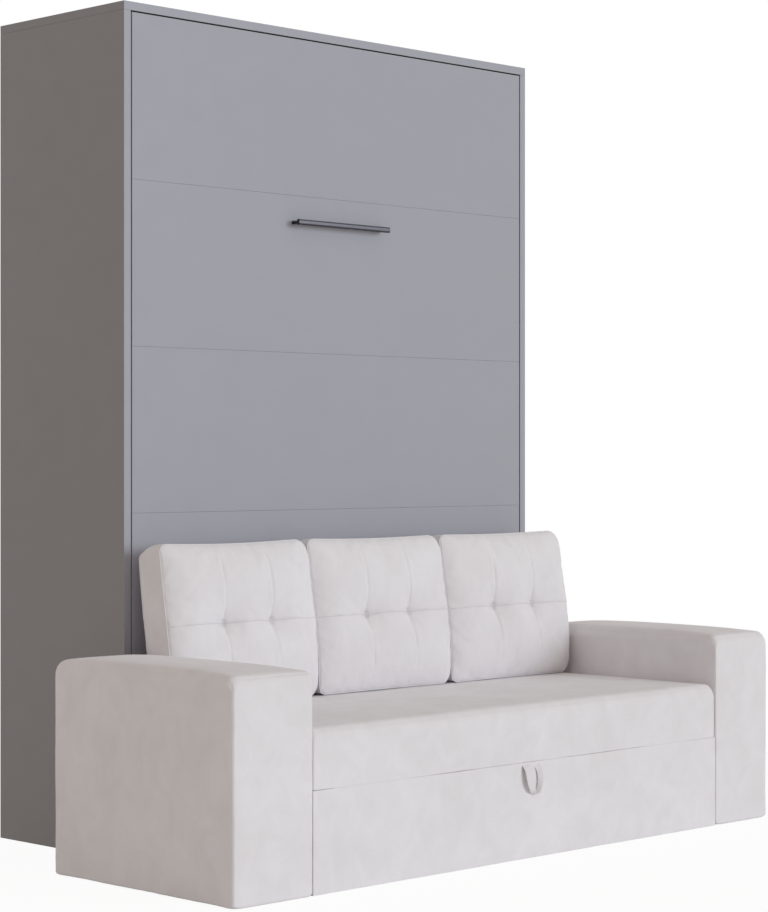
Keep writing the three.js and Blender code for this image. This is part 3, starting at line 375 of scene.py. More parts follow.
DOOR_GREY = (0.354, 0.35, 0.39)
CARCASS_GREY = (0.26, 0.241, 0.246)
materials = {
    "door": board_material("door lacquer", DOOR_GREY, 0.5),
    "carcass": board_material("carcass laminate", CARCASS_GREY, 0.52),
    "edging": board_material("edging strip", DOOR_GREY, 0.45),
    "inner_board": board_material("white laminate", (0.69, 0.68, 0.66), 0.45),
    "handle": metal_material("handle metal", (0.064, 0.061, 0.07), 0.36, brushed=True),
    # The handle's front is painted paler than its edges, as a highlight of the lamp.
    "handle_painted_highlight": metal_material("brushed handle front with painted highlight", (0.115, 0.112, 0.126), 0.36, brushed=True),
    "frame_steel": powder_coat_material("powder coat", (0.022, 0.022, 0.024)),
    "bright_steel": metal_material("zinc-plated steel", (0.56, 0.57, 0.6), 0.3),
    "beech": beech_material(),
    "mattress_cloth": ticking_material(),
    "webbing": webbing_material(),
    "rubber": rubber_material(),
    "upholstery": velvet_material(),
    "piping": velvet_material("velvet piping", shade(VELVET, 0.97), 0.03),
    # The thread is darker than the cloth: partly a thread of its own tone, and partly painted shade of the sewn
    # groove.
    "thread": velvet_material("sewing thread and painted seam shade", shade(VELVET, 0.85), 0.02),
}

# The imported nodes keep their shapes, and take these materials by their slot.
for subpart in frame["record"]["subparts"]:
    node = frame["nodes"][subpart["node"]]
    node.data.materials.clear()
    node.data.materials.append(materials[subpart["material_slot"]])


# Boards

BOARD_EDGE = 0.8 * MM
DOOR_EDGE = 0.7 * MM
EDGING_EDGE = 0.25 * MM
# The door's boards are pushed together, so that only their eased edges show between them.
BOARD_JOINT = 0.72 * MM
EDGING = 1.0 * MM


def eased_box(shape, low, high, edge, material_index=0):
    """Adds a box with eased edges to the mesh."""
    made = bmesh.ops.create_cube(shape, size=1.0)["verts"]
    bmesh.ops.scale(shape, vec=high - low, verts=made)
    bmesh.ops.translate(shape, vec=(low + high) / 2, verts=made)
    edges = list({e for v in made for e in v.link_edges})
    bevelled = bmesh.ops.bevel(shape, geom=edges, offset=edge, segments=3, profile=0.5, affect="EDGES")
    parts = [*bevelled["verts"], *bevelled["edges"]]
    for face in {f for part in parts for f in part.link_faces}:
        face.material_index = material_index


def shade_by_area(piece):
    """Flat faces stay flat in the light, and only the eased edges turn."""
    weighted = piece.modifiers.new("normals", "WEIGHTED_NORMAL")
    weighted.keep_sharp = True
    apply_modifiers(piece)


def bevelled_board(node, body, slot, edge=BOARD_EDGE, strip=False, below=0, above=0):
    """A board in the node's box, with eased edges, and with an edging strip on its front or without."""
    low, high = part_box(node)
    low.z -= below
    high.z += above
    shape = bmesh.new()
    if strip:
        joint = Vector((low.x, low.y + EDGING, low.z))
        eased_box(shape, joint, high, EDGING_EDGE)
        eased_box(shape, low, Vector((high.x, low.y + EDGING, high.z)), EDGING_EDGE, 1)
    else:
        eased_box(shape, low, high, edge)
    piece = bmesh_object(node + "_board", shape, materials[slot])
    if strip:
        piece.data.materials.append(materials["edging"])
    shade_by_area(piece)
    finish_piece(piece, body, slot, node)


CARCASS_BOARDS = ("side_panel_left", "side_panel_right", "top_panel", "lower_front_panel")
INNER_BOARDS = {
    "cabinet": (
        "bottom_panel", "back_rail", "seat_platform",
        "sofa_side_left", "sofa_side_right", "sofa_back_board",
    ),
    "drawer": ("drawer_side_left", "drawer_side_right", "drawer_back"),
}
for name in CARCASS_BOARDS:
    bevelled_board(name, "cabinet", "carcass", strip=True)
for number in range(1, 5):
    below = BOARD_JOINT if number < 4 else 0
    above = BOARD_JOINT if number > 1 else 0
    bevelled_board(f"door_board_{number}", "bed", "door", DOOR_EDGE, below=below, above=above)
for body, names in INNER_BOARDS.items():
    for name in names:
        bevelled_board(name, body, "inner_board")


# Handle

# The bar is a little shorter, thinner and higher than its packed box.
HANDLE_IN_LOW = Vector((4.5 * MM, 3 * MM, -1.1 * MM))
HANDLE_IN_HIGH = Vector((4.4 * MM, 0, -1.1 * MM))
HANDLE_ROUND = 4.3 * MM
HANDLE_CHAMFER = 0.5 * MM


def handle_bar():
    """A flat bar with round dark edges, and a brushed front between them that is painted paler as a highlight.
    """
    low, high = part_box("handle_bar")
    low += HANDLE_IN_LOW
    high -= HANDLE_IN_HIGH
    quarter = [math.radians(a) for a in range(0, 91, 15)]
    r = HANDLE_ROUND
    lower = [(low.y + r * (1 - math.sin(a)), low.z + r * (1 - math.cos(a))) for a in quarter]
    upper = [(y, high.z - (z - low.z)) for y, z in reversed(lower)]
    section = [(high.y, low.z), *lower, *upper, (high.y, high.z)]
    middle = ((low.y + high.y) / 2, (low.z + high.z) / 2)
    half = ((high.y - low.y) / 2, (high.z - low.z) / 2)
    shape = bmesh.new()
    rings = []
    c = HANDLE_CHAMFER
    for x, inset in ((low.x, c), (low.x + c, 0), (high.x - c, 0), (high.x, c)):
        ring = []
        for at in section:
            y, z = (m + (v - m) * (1 - inset / h) for v, m, h in zip(at, middle, half))
            ring.append(shape.verts.new((x, y, z)))
        rings.append(ring)
    front = len(lower)
    for first, second in zip(rings, rings[1:]):
        for i in range(len(section)):
            k = (i + 1) % len(section)
            face = shape.faces.new([first[i], first[k], second[k], second[i]])
            # The front face takes the paler metal, a painted highlight.
            face.material_index = 1 if i == front else 0
    shape.faces.new(rings[0])
    shape.faces.new(rings[-1])
    piece = bmesh_object("handle_profile", shape, materials["handle"])
    piece.data.materials.append(materials["handle_painted_highlight"])
    shade_by_area(piece)
    finish_piece(piece, "bed", "handle", "handle_bar")


handle_bar()


# Upholstered blocks

EDGE_STEPS = 7


def edge_stations(low, high, radii, spacing, lines):
    """Places across a face: close together at a rounded edge, even between, and fine beside sewn lines."""
    begin, end = low + radii[0], high - radii[1]
    count = max(2, round((end - begin) / spacing))
    share = np.linspace(0, 1, EDGE_STEPS + 1)[1:]
    places = [*np.linspace(begin, end, count + 1), *(begin - radii[0] * share), *(end + radii[1] * share)]
    fine = [line + d for line in lines for d in (-3 * MM, -1.2 * MM, 0.0, 1.2 * MM, 3 * MM)]
    places = [p for p in places if all(abs(p - f) > 1.5 * MM for f in fine)] + fine
    return np.array(sorted(set(np.round(places, 6))))


def rounded_block(low, high, radii, spacing, crown, lines=((), (), ()), upright=None):
    """A block with rounded edges and domed faces.

    Each axis has the radii of its two ends, and 0 leaves one square.
    """
    low, high = np.array(low), np.array(high)
    stations = [edge_stations(low[i], high[i], radii[i], spacing, lines[i]) for i in range(3)]
    points, faces = box_shell(*stations)
    half = (high - low) / 2
    middle = (low + high) / 2
    share = (points - middle) / half
    radius = np.where(share < 0, *np.transpose(radii))
    if upright is not None:
        radius = upright_radii(points, share, low, high, half, radius, **upright)
    out = np.sign(share) * np.maximum(0, np.abs(share) * half - (half - radius))
    turned = np.where(radius > 0, out / np.maximum(radius, 1e-9), 0)
    length = np.linalg.norm(turned, axis=1)[:, None]
    furthest = np.abs(turned).max(axis=1)[:, None]
    points = points - out * (1 - furthest / np.maximum(length, 1e-9))
    swell = 1 - np.abs(share) ** 4
    for axis, letter in enumerate("xyz"):
        others = [i for i in range(3) if i != axis]
        belly = share[:, axis] * swell[:, others[0]] * swell[:, others[1]]
        for end, sign in (("-", -1), ("+", 1)):
            dome = crown.get(letter + end, 0) * belly
            points[:, axis] += np.where(np.sign(share[:, axis]) == sign, dome, 0)
    return points, faces, share


def upright_radii(points, share, low, high, half, radius, front, rear, under, top=None):
    """Changes the radii along the upright edges, the front's lower edge and the top's two sides.

    A pair in front or rear is for the width and the depth, and the pair in top is for the left and the right.
    """
    beyond = np.maximum(0, np.abs(share) * half - (half - radius)) / np.maximum(radius, 1e-9)
    sideways = beyond[:, 0] / (beyond[:, 0] + beyond[:, 2] + 1e-9)
    radius = radius.copy()
    if top is not None:
        above = share[:, 2] > 0
        radius[above, 2] = (top[0] + (top[1] - top[0]) * (share[:, 0] + 1) / 2)[above]
    at_front = share[:, 1] < 0
    radius[at_front & (share[:, 2] < 0), 1] = under
    for plane, at_end, (first, second) in ((low[1], at_front, front), (high[1], ~at_front, rear)):
        across = np.where(share[:, 0] < 0, first[0], second[0])
        depth = np.where(share[:, 0] < 0, first[1], second[1])
        zone = max(radius[:, 1].max(), depth.max())
        near = unit(1 - (np.abs(points[:, 1] - plane) - zone) / (1.5 * zone)) * sideways
        radius[:, 0] += (across - radius[:, 0]) * near
        radius[:, 1] += np.where(at_end, (depth - radius[:, 1]) * near, 0)
    return radius


def keep_flat(points, low, high, crown):
    """A face without a dome lies against something, so no point passes its plane."""
    for axis, letter in enumerate("xyz"):
        if letter + "-" not in crown:
            points[:, axis] = np.maximum(points[:, axis], low[axis])
        if letter + "+" not in crown:
            points[:, axis] = np.minimum(points[:, axis], high[axis])
    return points


WAVE = 1.1 * MM
PUCKER = 0.7 * MM
SEAM_DEPTH = 0.9 * MM


def soften(thing, share, seed, wave):
    """Uneven stuffing: broad waves over the faces, and small puckers close to the edges."""
    points = points_of(thing)
    nearest = np.sort(np.abs(share), axis=1)[:, 1]
    by_edge = unit((nearest - 0.86) / 0.14) ** 2
    broad = noise_at(points, 6.5, seed)
    fine = noise_at(points, 42.0, seed + 3)
    push_out(thing, wave * broad + PUCKER * by_edge * fine)


def panel_seam(piece, low, high, inset):
    """A sewn line round the front panel: a fine groove with the cloth standing up beside it."""
    x, _, z = points_of(piece).T
    distance = np.maximum(np.maximum(low.x - x, x - high.x), z - high.z) + inset
    front = unit(-normals_of(piece)[:, 1] * 1.6)
    offset = 0.7 * bell(distance, 1.6 * MM, 1.8 * MM) - bell(distance, 1.1 * MM)
    push_out(piece, SEAM_DEPTH * offset * front)


def upholstered(
    name, low, high, radii, spacing, crown, seed, body, node,
    wave=WAVE, seam=None, upright=None, sculpt=None,
):
    """Firm upholstery over a board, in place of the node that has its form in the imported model."""
    lines = ((), (), ())
    if seam is not None:
        lines = ((low.x + seam, high.x - seam), (), (high.z - seam,))
    points, faces, share = rounded_block(low, high, radii, spacing, crown, lines, upright)
    if sculpt is not None:
        points = sculpt(points, share)
    piece = mesh_object(name, points, faces, materials["upholstery"])
    soften(piece, share, seed, wave)
    if seam is not None:
        panel_seam(piece, low, high, seam)
    move_points(piece, keep_flat(points_of(piece), low, high, crown))
    smooth_by_subdivision(piece)
    finish_piece(piece, body, "upholstery", node)


CAD_ARM_BELLY = 5 * MM
CAD_ARM_CROWN = 13 * MM
ARM_SEAM = 5 * MM
ARM_SPACING = 13 * MM
ARM_PAST_REAR = 5 * MM
ARM_PAST_SIDE = 5.5 * MM
ARM_CROWN = {"y-": 3 * MM, "y+": 2 * MM, "z+": 12 * MM}
ARM_BELLY = 5 * MM
ARM_RADII = ((32 * MM, 20 * MM), (26 * MM, 24 * MM), (8 * MM, 30 * MM))
ARM_EDGES = {
    "left": {
        "front": ((7 * MM, 28 * MM), (4 * MM, 8 * MM)),
        "rear": ((8 * MM, 8 * MM), (20 * MM, 24 * MM)),
        "under": 4 * MM,
        "top": (30 * MM, 15 * MM),
    },
    "right": {
        "front": ((5 * MM, 28 * MM), (6 * MM, 26 * MM)),
        "rear": ((20 * MM, 24 * MM), (8 * MM, 8 * MM)),
        "under": 4 * MM,
    },
}


def sofa_arm(side, sign):
    low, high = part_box(f"arm_{side}")
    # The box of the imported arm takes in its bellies, so the block between them is a little smaller.
    low.y += CAD_ARM_BELLY
    high.z -= CAD_ARM_CROWN
    high.y += ARM_PAST_REAR
    if sign > 0:
        high.x -= CAD_ARM_BELLY
    else:
        low.x -= ARM_PAST_SIDE
    crown = ARM_CROWN | {"x+" if sign > 0 else "x-": ARM_BELLY}
    upholstered(
        f"sofa_arm_{side}", low, high, ARM_RADII, ARM_SPACING, crown, 3 + sign, "cabinet", f"arm_{side}",
        seam=ARM_SEAM, upright=ARM_EDGES[side],
    )


for side, sign in (("left", -1), ("right", 1)):
    sofa_arm(side, sign)


# The block stays inside its packed box at the front and on top, where its domes rise.
SEAT_IN_FRONT = 4 * MM
SEAT_IN_TOP = 2 * MM
SEAT_PAST_UNDER = 0.3 * MM
SEAT_TILT = 3 * MM
SEAT_SPACING = 14 * MM
SEAT_CROWN = {"y-": 3 * MM, "z+": 2.5 * MM}
SEAT_RADII = ((20 * MM, 38 * MM), (26 * MM, 10 * MM), (0.4 * MM, 34 * MM))
SEAT_EDGES = {
    "front": ((5 * MM, 5 * MM), (5 * MM, 5 * MM)),
    "rear": ((20 * MM, 10 * MM), (20 * MM, 10 * MM)),
    "under": 0.4 * MM,
}


def tilted_top(points, share):
    """The seat's top lies a little lower on the left."""
    points[:, 2] -= SEAT_TILT * (1 - share[:, 0]) / 2 * unit(share[:, 2])
    return points


def seat():
    low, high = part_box("seat_cushion")
    low.y += SEAT_IN_FRONT
    high.z -= SEAT_IN_TOP
    low.z -= SEAT_PAST_UNDER
    upholstered(
        "seat_pad", low, high, SEAT_RADII, SEAT_SPACING, SEAT_CROWN, 11, "cabinet", "seat_cushion",
        upright=SEAT_EDGES, sculpt=tilted_top,
    )


seat()


DRAWER_IN_FRONT = 3 * MM
# The padding closes the gap under the seat to a fine seam, and those at its sides and under it in part.
DRAWER_PAST_TOP = 2.1 * MM
DRAWER_PAST_SIDE = 1.2 * MM
DRAWER_PAST_UNDER = 5 * MM
DRAWER_SPACING = 12 * MM
DRAWER_WAVE = 0.9 * MM
DRAWER_CROWN = {"y-": 2.5 * MM}
DRAWER_RADII = ((0.6 * MM, 0.6 * MM), (0.6 * MM, 0), (3 * MM, 0.4 * MM))


def drawer_face():
    low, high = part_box("drawer_front")
    low.y += DRAWER_IN_FRONT
    high.z += DRAWER_PAST_TOP
    low.z -= DRAWER_PAST_UNDER
    low.x -= DRAWER_PAST_SIDE
    high.x += DRAWER_PAST_SIDE
    upholstered(
        "drawer_face", low, high, DRAWER_RADII, DRAWER_SPACING, DRAWER_CROWN, 21, "drawer", "drawer_front",
        wave=DRAWER_WAVE,
    )


drawer_face()


# Back cushions

CUSHION_LEAN = math.radians(9.5)
CUSHION_HALF_X = 251.2 * MM
CUSHION_HALF_Z = 200 * MM
GUSSET_HALF = 42.5 * MM
TOP_LEFT_CORNER = 26 * MM
TOP_RIGHT_CORNER = 44 * MM
BOTTOM_CORNER = 27 * MM
FRONT_ROLL = 24 * MM
FRONT_DOME = 15 * MM
ROLL_POWER = 6.5
BACK_CROWN = 62 * MM
TUCK_BACK = 15 * MM
TUCK_DOWN = 12 * MM
BOTTOM_SHIFT = 5 * MM
TOP_TAPER = 6 * MM
REAR_DROP = 7 * MM
CLOTH_SHARE = 0.5
TUFT_X = 81 * MM
TUFT_Z = -10 * MM
TUFT_DEPTH = 18 * MM
TUFT_REACH = 44 * MM
TUFT_PIN = 7 * MM
TUFT_PULL = 8.5 * MM
FACE_CAP = 16 * MM
GUSSET_SHARE = 0.4
PIPING_RADIUS = 1.5 * MM
THREAD_RADIUS = 0.9 * MM
THREAD_PROUD = 0.2 * MM
THREAD_END = 3 * MM
# The cushion's lowest point is this far above its packed box's floor.
CUSHION_LIFT = 3.2 * MM
CUSHION_SPACING = 8.5 * MM
NEAR = 1e-6


def cushion_stations(half, seams):
    """Even places with finer ones beside the sewn lines and at the edge."""
    fine = [s + d for s in seams for d in (-7 * MM, -3.2 * MM, 0.0, 3.2 * MM, 7 * MM)]
    edge = [half - d * MM for d in (0, 2, 5, 9.5, 15, 22)]
    fixed = sorted({round(v, 6) for v in (*fine, *edge, *[-e for e in edge])})
    stations = []
    for a, b in zip(fixed, fixed[1:]):
        count = max(1, round((b - a) / CUSHION_SPACING))
        stations += [a + (b - a) * i / count for i in range(count)]
    return np.array([*stations, fixed[-1]])


def on_rim(x, z):
    return (np.abs(np.abs(x) - CUSHION_HALF_X) < NEAR) | (np.abs(np.abs(z) - CUSHION_HALF_Z) < NEAR)


def outline_of(x, z, shape):
    """Moves a point of the cushion's plane: the outline is round at the corners and drawn in between."""
    corner = np.where(z > 0, np.where(x > 0, TOP_RIGHT_CORNER, TOP_LEFT_CORNER), BOTTOM_CORNER)
    limit_x = CUSHION_HALF_X - corner
    limit_z = CUSHION_HALF_Z - corner
    over_x = np.maximum(0, np.abs(x) - limit_x)
    over_z = np.maximum(0, np.abs(z) - limit_z)
    both = (over_x > 0) & (over_z > 0)
    shrink = np.where(both, np.maximum(over_x, over_z) / np.maximum(np.hypot(over_x, over_z), 1e-9), 1.0)
    new_x = np.where(both, np.sign(x) * (limit_x + over_x * shrink), x)
    new_z = np.where(both, np.sign(z) * (limit_z + over_z * shrink), z)
    a, c = x / CUSHION_HALF_X, z / CUSHION_HALF_Z
    side = np.where(a > 0, shape["right"], shape["left"])
    edge = np.where(c > 0, shape["top"], shape["bottom"])
    low_part = unit(-c)
    new_x -= a * side * (1 - c * c) + BOTTOM_SHIFT * low_part**1.5
    new_x -= shape["taper"] * low_part**2 * unit(a)
    new_z -= c * edge * (1 - a * a)
    return new_x, new_z + shape["sag"] * unit(c) * a


def dome_of(x, z, power):
    """A dome that is 1 in the cushion's middle and 0 at its seam, and fuller with a higher power."""
    a, c = np.abs(x / CUSHION_HALF_X), np.abs(z / CUSHION_HALF_Z)
    return np.maximum(0, 1 - a**power) * np.maximum(0, 1 - c**power)


def crown_of(x, z):
    """The front's form: a full round roll inside the seam, a low dome, and a hollow about each tuft."""
    roll = np.sqrt(dome_of(x, z, ROLL_POWER))
    dome = dome_of(x, z, 2)
    dip = sum(np.exp(-(((x - s * TUFT_X) ** 2 + (z - TUFT_Z) ** 2) / TUFT_REACH**2)) for s in (-1, 1))
    return FRONT_ROLL * roll + FRONT_DOME * dome - 0.8 * TUFT_DEPTH * roll * dip


CLOTH_FRAMES = 26
CLOTH_SETTINGS = {
    "quality": 6,
    "mass": 0.25,
    "tension_stiffness": 28,
    "compression_stiffness": 22,
    "shear_stiffness": 9,
    "bending_stiffness": 1.1,
    "tension_damping": 12,
    "compression_damping": 12,
    "shear_damping": 10,
    "bending_damping": 2,
    "air_damping": 4,
    "use_pressure": True,
    "uniform_pressure_force": 3.2,
    "vertex_group_mass": "pins",
    "shrink_min": -0.024,
}


def simulate(piece, pins):
    """Cloth under light pressure, held at its seams and tufts, and cut a little larger than its stuffing."""
    group = piece.vertex_groups.new(name="pins")
    for index in pins:
        group.add([int(index)], 1.0, "REPLACE")
    cloth = piece.modifiers.new("cloth", "CLOTH")
    for key, value in CLOTH_SETTINGS.items():
        setattr(cloth.settings, key, value)
    cloth.settings.effector_weights.gravity = 0
    cloth.collision_settings.use_collision = False
    cloth.collision_settings.use_self_collision = False
    cloth.point_cache.frame_start = 1
    cloth.point_cache.frame_end = CLOTH_FRAMES
    scene = bpy.context.scene
    for number in range(1, CLOTH_FRAMES + 1):
        scene.frame_set(number)
    apply_modifiers(piece)
    scene.frame_set(1)


def capped(before, after, gusset):
    """No point ends further than the cap from where it began, and the firm band round the edge moves less."""
    step = (after - before) * np.where(gusset, GUSSET_SHARE, 1.0)[:, None]
    length = np.linalg.norm(step, axis=1)
    return before + step * np.minimum(1, FACE_CAP / np.maximum(length, 1e-9))[:, None]


def sew(points, normals, front, seed):
    """The sewn lines on the front: narrow grooves short of the top edge, with puckered cloth beside them."""
    x, z = points[:, 0], points[:, 2]
    offset = np.zeros(len(points))
    for s in (-1, 1):
        from_tuft = x - s * TUFT_X
        sway = 4 * MM * np.sin(z * 9 + seed + s) * np.abs(z - TUFT_Z) / CUSHION_HALF_Z
        distance = np.abs(from_tuft - sway)
        reach = unit((CUSHION_HALF_Z - 20 * MM - np.abs(z)) / (40 * MM))
        offset -= 2.1 * MM * bell(distance, 2.4 * MM) * reach
        offset += 0.9 * MM * bell(distance, 5 * MM, 8 * MM) * reach
        radius = np.hypot(from_tuft, z - TUFT_Z)
        around = np.arctan2(z - TUFT_Z, from_tuft)
        offset -= TUFT_PULL * np.exp(-((radius / (19 * MM)) ** 1.4))
        offset -= 2.5 * MM * np.cos(4 * around) * bell(radius, 13 * MM, 24 * MM)
    distance = np.abs(z - TUFT_Z - 1.0 * MM * np.sin(x * 11 + seed))
    reach = unit((CUSHION_HALF_X - 16 * MM - np.abs(x)) / (20 * MM))
    reach *= 0.8 + 0.2 * np.sin(x * 90 + seed)
    offset -= 3.8 * MM * bell(distance, 2.3 * MM) * reach
    offset += 0.6 * MM * bell(distance, 5 * MM, 7 * MM) * reach
    return points + normals * (offset * front)[:, None]


def back_cushion(place, shape, seed):
    """The cushion's cloth, and the paths of its two pipings and of its thread, all before it is leaned."""
    xs = cushion_stations(CUSHION_HALF_X, (-TUFT_X, TUFT_X))
    zs = cushion_stations(CUSHION_HALF_Z, (TUFT_Z,))
    ys = np.linspace(-GUSSET_HALF, GUSSET_HALF, 11)
    flat, faces = box_shell(xs, ys, zs)
    x, y, z = flat.T
    front = y < -GUSSET_HALF + NEAR
    back = y > GUSSET_HALF - NEAR
    rim = on_rim(x, z)
    new_x, new_z = outline_of(x, z, shape)
    swell = (1 - (y / GUSSET_HALF) ** 2) * rim
    new_x += 1.0 * MM * swell * x / CUSHION_HALF_X
    new_z += 4.5 * MM * swell * np.maximum(z, 0) / CUSHION_HALF_Z
    new_y = y - np.where(front, crown_of(x, z), 0)
    new_y += np.where(back, BACK_CROWN * dome_of(x, z, 2.8) ** 0.6, 0)
    # The front's lower edge is tucked under, so that the leaning cushion stands flat on the seat.
    forward = unit((GUSSET_HALF - y) / (2 * GUSSET_HALF))
    tuck = unit(-z / CUSHION_HALF_Z) ** 4 * forward
    new_y += TUCK_BACK * tuck
    new_z -= TUCK_DOWN * tuck
    # The rear's upper edge is a little lower and nearer than a square gusset's would be.
    upper = unit(z / CUSHION_HALF_Z) * (y + GUSSET_HALF) / (2 * GUSSET_HALF)
    new_y -= TOP_TAPER * upper**2
    new_z -= REAR_DROP * upper**4
    points = np.stack([new_x, new_y, new_z], axis=1)

    tuft = front & (np.hypot(np.abs(x) - TUFT_X, z - TUFT_Z) < TUFT_PIN)
    points[tuft, 1] += 6 * MM
    pins = np.nonzero((rim & (front | back)) | tuft)[0]
    piece = mesh_object(f"cushion_{place}", points, faces, materials["upholstery"])
    rough = noise_at(points, 55.0, seed) * 0.5 * MM
    rough[pins] = 0
    move_points(piece, points + normals_of(piece) * rough[:, None])
    simulate(piece, pins)
    points = points + CLOTH_SHARE * (capped(points, points_of(piece), ~front & ~back) - points)
    move_points(piece, points)
    depth = unit(crown_of(x, z) / (12 * MM)) * front
    move_points(piece, sew(points_of(piece), normals_of(piece), depth, seed))
    # The thread along the tuft row is darker than the cloth, partly its own tone and partly painted shade of
    # the groove.
    row = points_of(piece)[front & (np.abs(z - TUFT_Z) < NEAR) & (np.abs(x) < CUSHION_HALF_X - THREAD_END)]
    smooth_by_subdivision(piece)
    thread = [on_cloth(piece, p) for p in row[np.argsort(row[:, 0])]]
    return piece, rim_loop(flat, points, -GUSSET_HALF), rim_loop(flat, points, GUSSET_HALF), thread


def on_cloth(piece, point):
    """The cloth's nearest place to a point, a little proud of it."""
    found, place, normal, _ = piece.closest_point_on_mesh(Vector(point))
    return place + normal * THREAD_PROUD if found else Vector(point)


def rim_loop(flat, points, y):
    """The points along one seam of the cushion, in order round it."""
    chosen = np.nonzero(on_rim(flat[:, 0], flat[:, 2]) & (np.abs(flat[:, 1] - y) < NEAR))[0]
    angle = np.arctan2(flat[chosen, 2] / CUSHION_HALF_Z, flat[chosen, 0] / CUSHION_HALF_X)
    return points[chosen[np.argsort(angle)]]


def cord_along(name, path, radius, material, closed=True, sides=3):
    """A round cord along a list of points, as a mesh."""
    curve = bpy.data.curves.new(name, "CURVE")
    curve.dimensions = "3D"
    curve.bevel_depth = radius
    curve.bevel_resolution = sides
    curve.use_fill_caps = not closed
    spline = curve.splines.new("POLY")
    spline.points.add(len(path) - 1)
    for target, p in zip(spline.points, path):
        target.co = (*p, 1.0)
    spline.use_cyclic_u = closed
    cord = placed(name, curve)
    mesh = evaluated_mesh(cord)
    bpy.data.objects.remove(cord)
    bpy.data.curves.remove(curve)
    return new_object(name, mesh, material)


def place_cushion(pieces, node):
    """Leans the cushion, stands it on its packed box's floor and sets its back against the door."""
    lean = Matrix.Rotation(-CUSHION_LEAN, 4, "X")
    for piece in pieces:
        piece.data.transform(lean)
    cloth = points_of(pieces[0])
    low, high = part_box(node)
    right = (low.x + high.x) / 2
    back = high.y - cloth[:, 1].max()
    up = low.z + CUSHION_LIFT - cloth[:, 2].min()
    for piece in pieces:
        piece.data.transform(Matrix.Translation((right, back, up)))


# How far the sides, the top and the bottom are drawn in, in millimetres. The taper takes the lower right
# corner inward, and the sag lifts the top's right end and lowers its left.
SHAPE_KEYS = ("left", "right", "top", "bottom", "taper", "sag")
CUSHION_SHAPES = {
    "left": (-2, 0.4, 6, 1, 5, 1),
    "middle": (0.4, 0.4, 5, 1, 5, 0),
    "right": (0.4, 0, 4, 1, 10, 1),
}


def back_cushions():
    for seed, (place, values) in enumerate(CUSHION_SHAPES.items(), 1):
        body = f"back_cushion_{place}"
        shape = {key: value * MM for key, value in zip(SHAPE_KEYS, values)}
        cloth, seam, rear_seam, thread = back_cushion(place, shape, seed)
        cords = [
            cord_along(f"piping_{place}_front", seam, PIPING_RADIUS, materials["piping"]),
            cord_along(f"piping_{place}_rear", rear_seam, PIPING_RADIUS, materials["piping"]),
            cord_along(f"thread_{place}", thread, THREAD_RADIUS, materials["thread"], closed=False, sides=1),
        ]
        place_cushion([cloth, *cords], body)
        finish_piece(cloth, body, "upholstery", body)
        for cord in cords:
            finish_piece(cord, body, "upholstery")


back_cushions()


# Pull loop

LOOP_THICKNESS = 2.2 * MM
LOOP_STEPS = 96
# The strap's middle across, out and down, the way its width lies, and half its width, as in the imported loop.
LOOP_ROUTE = (
    (-24, -1.6, 0, 1, 0, 0, 15),
    (-23, 10, 13, 1, 0.02, 0, 14.5),
    (-22, 15.6, 30, 1, 0.02, 0, 14),
    (-19, 17, 48, 0.97, 0.08, 0.15, 12.5),
    (-12, 16, 65, 0.8, 0.2, 0.4, 9.5),
    (-1, 13, 77, 0.35, 0.85, 0.2, 6.5),
    (11, 11.5, 76, 0.35, 0.85, -0.35, 6.5),
    (20.5, 11.5, 60, 0.7, 0.65, -0.2, 7),
    (24, 10.5, 40, 0.9, 0.42, 0, 8),
    (22, 7, 18, 0.95, 0.3, 0, 9),
    (14, -1.6, 0, 1, 0, 0, 12),
)


def through(rows, t):
    """A smooth curve through the rows, from t = 0 to t = 1."""
    rows = np.asarray(rows, float)
    rows = np.vstack([2 * rows[0] - rows[1], rows, 2 * rows[-1] - rows[-2]])
    at = np.clip(t * (len(rows) - 3), 0, len(rows) - 3 - 1e-9)
    i = at.astype(int)
    f = (at - i)[:, None]
    a, b, c, d = (rows[i + k] for k in range(4))
    return 0.5 * (2 * b + (c - a) * f + (2 * a - 5 * b + 4 * c - d) * f**2 + (3 * b - a - 3 * c + d) * f**3)


def strap_mesh(name, middles, widths, halves, thickness, material, ridge):
    """A flat strap with rounded edges and sewn lines beside them, swept along its middles."""
    along = np.gradient(middles, axis=0)
    along /= np.linalg.norm(along, axis=1)[:, None]
    across = widths - along * np.sum(widths * along, axis=1)[:, None]
    across /= np.linalg.norm(across, axis=1)[:, None]
    out = np.cross(along, across)
    face = np.array([-1.0, -0.94, -0.8, -0.72, -0.64, -0.3, 0.0, 0.3, 0.64, 0.72, 0.8, 0.94, 1.0])
    height = np.array([0.0, 0.85, 1.0, 1 - ridge, 1.0, 1.0, 1.0, 1.0, 1.0, 1 - ridge, 1.0, 0.85, 0.0])
    section = [*zip(face, height), *zip(face[-2:0:-1], -height[-2:0:-1])]
    rings = [middles + across * (u * halves)[:, None] + out * (v * thickness / 2) for u, v in section]
    points = np.stack(rings, axis=1).reshape(-1, 3)
    n, sides = len(middles), len(section)
    faces = []
    for i in range(n - 1):
        for k in range(sides):
            a, b = i * sides + k, i * sides + (k + 1) % sides
            faces.append((a, b, b + sides, a + sides))
    faces.append(tuple(range(sides))[::-1])
    faces.append(tuple((n - 1) * sides + k for k in range(sides)))
    shape = bmesh.new()
    corners = [shape.verts.new(p) for p in points]
    for ring in faces:
        shape.faces.new([corners[i] for i in ring])
    return bmesh_object(name, shape, material)


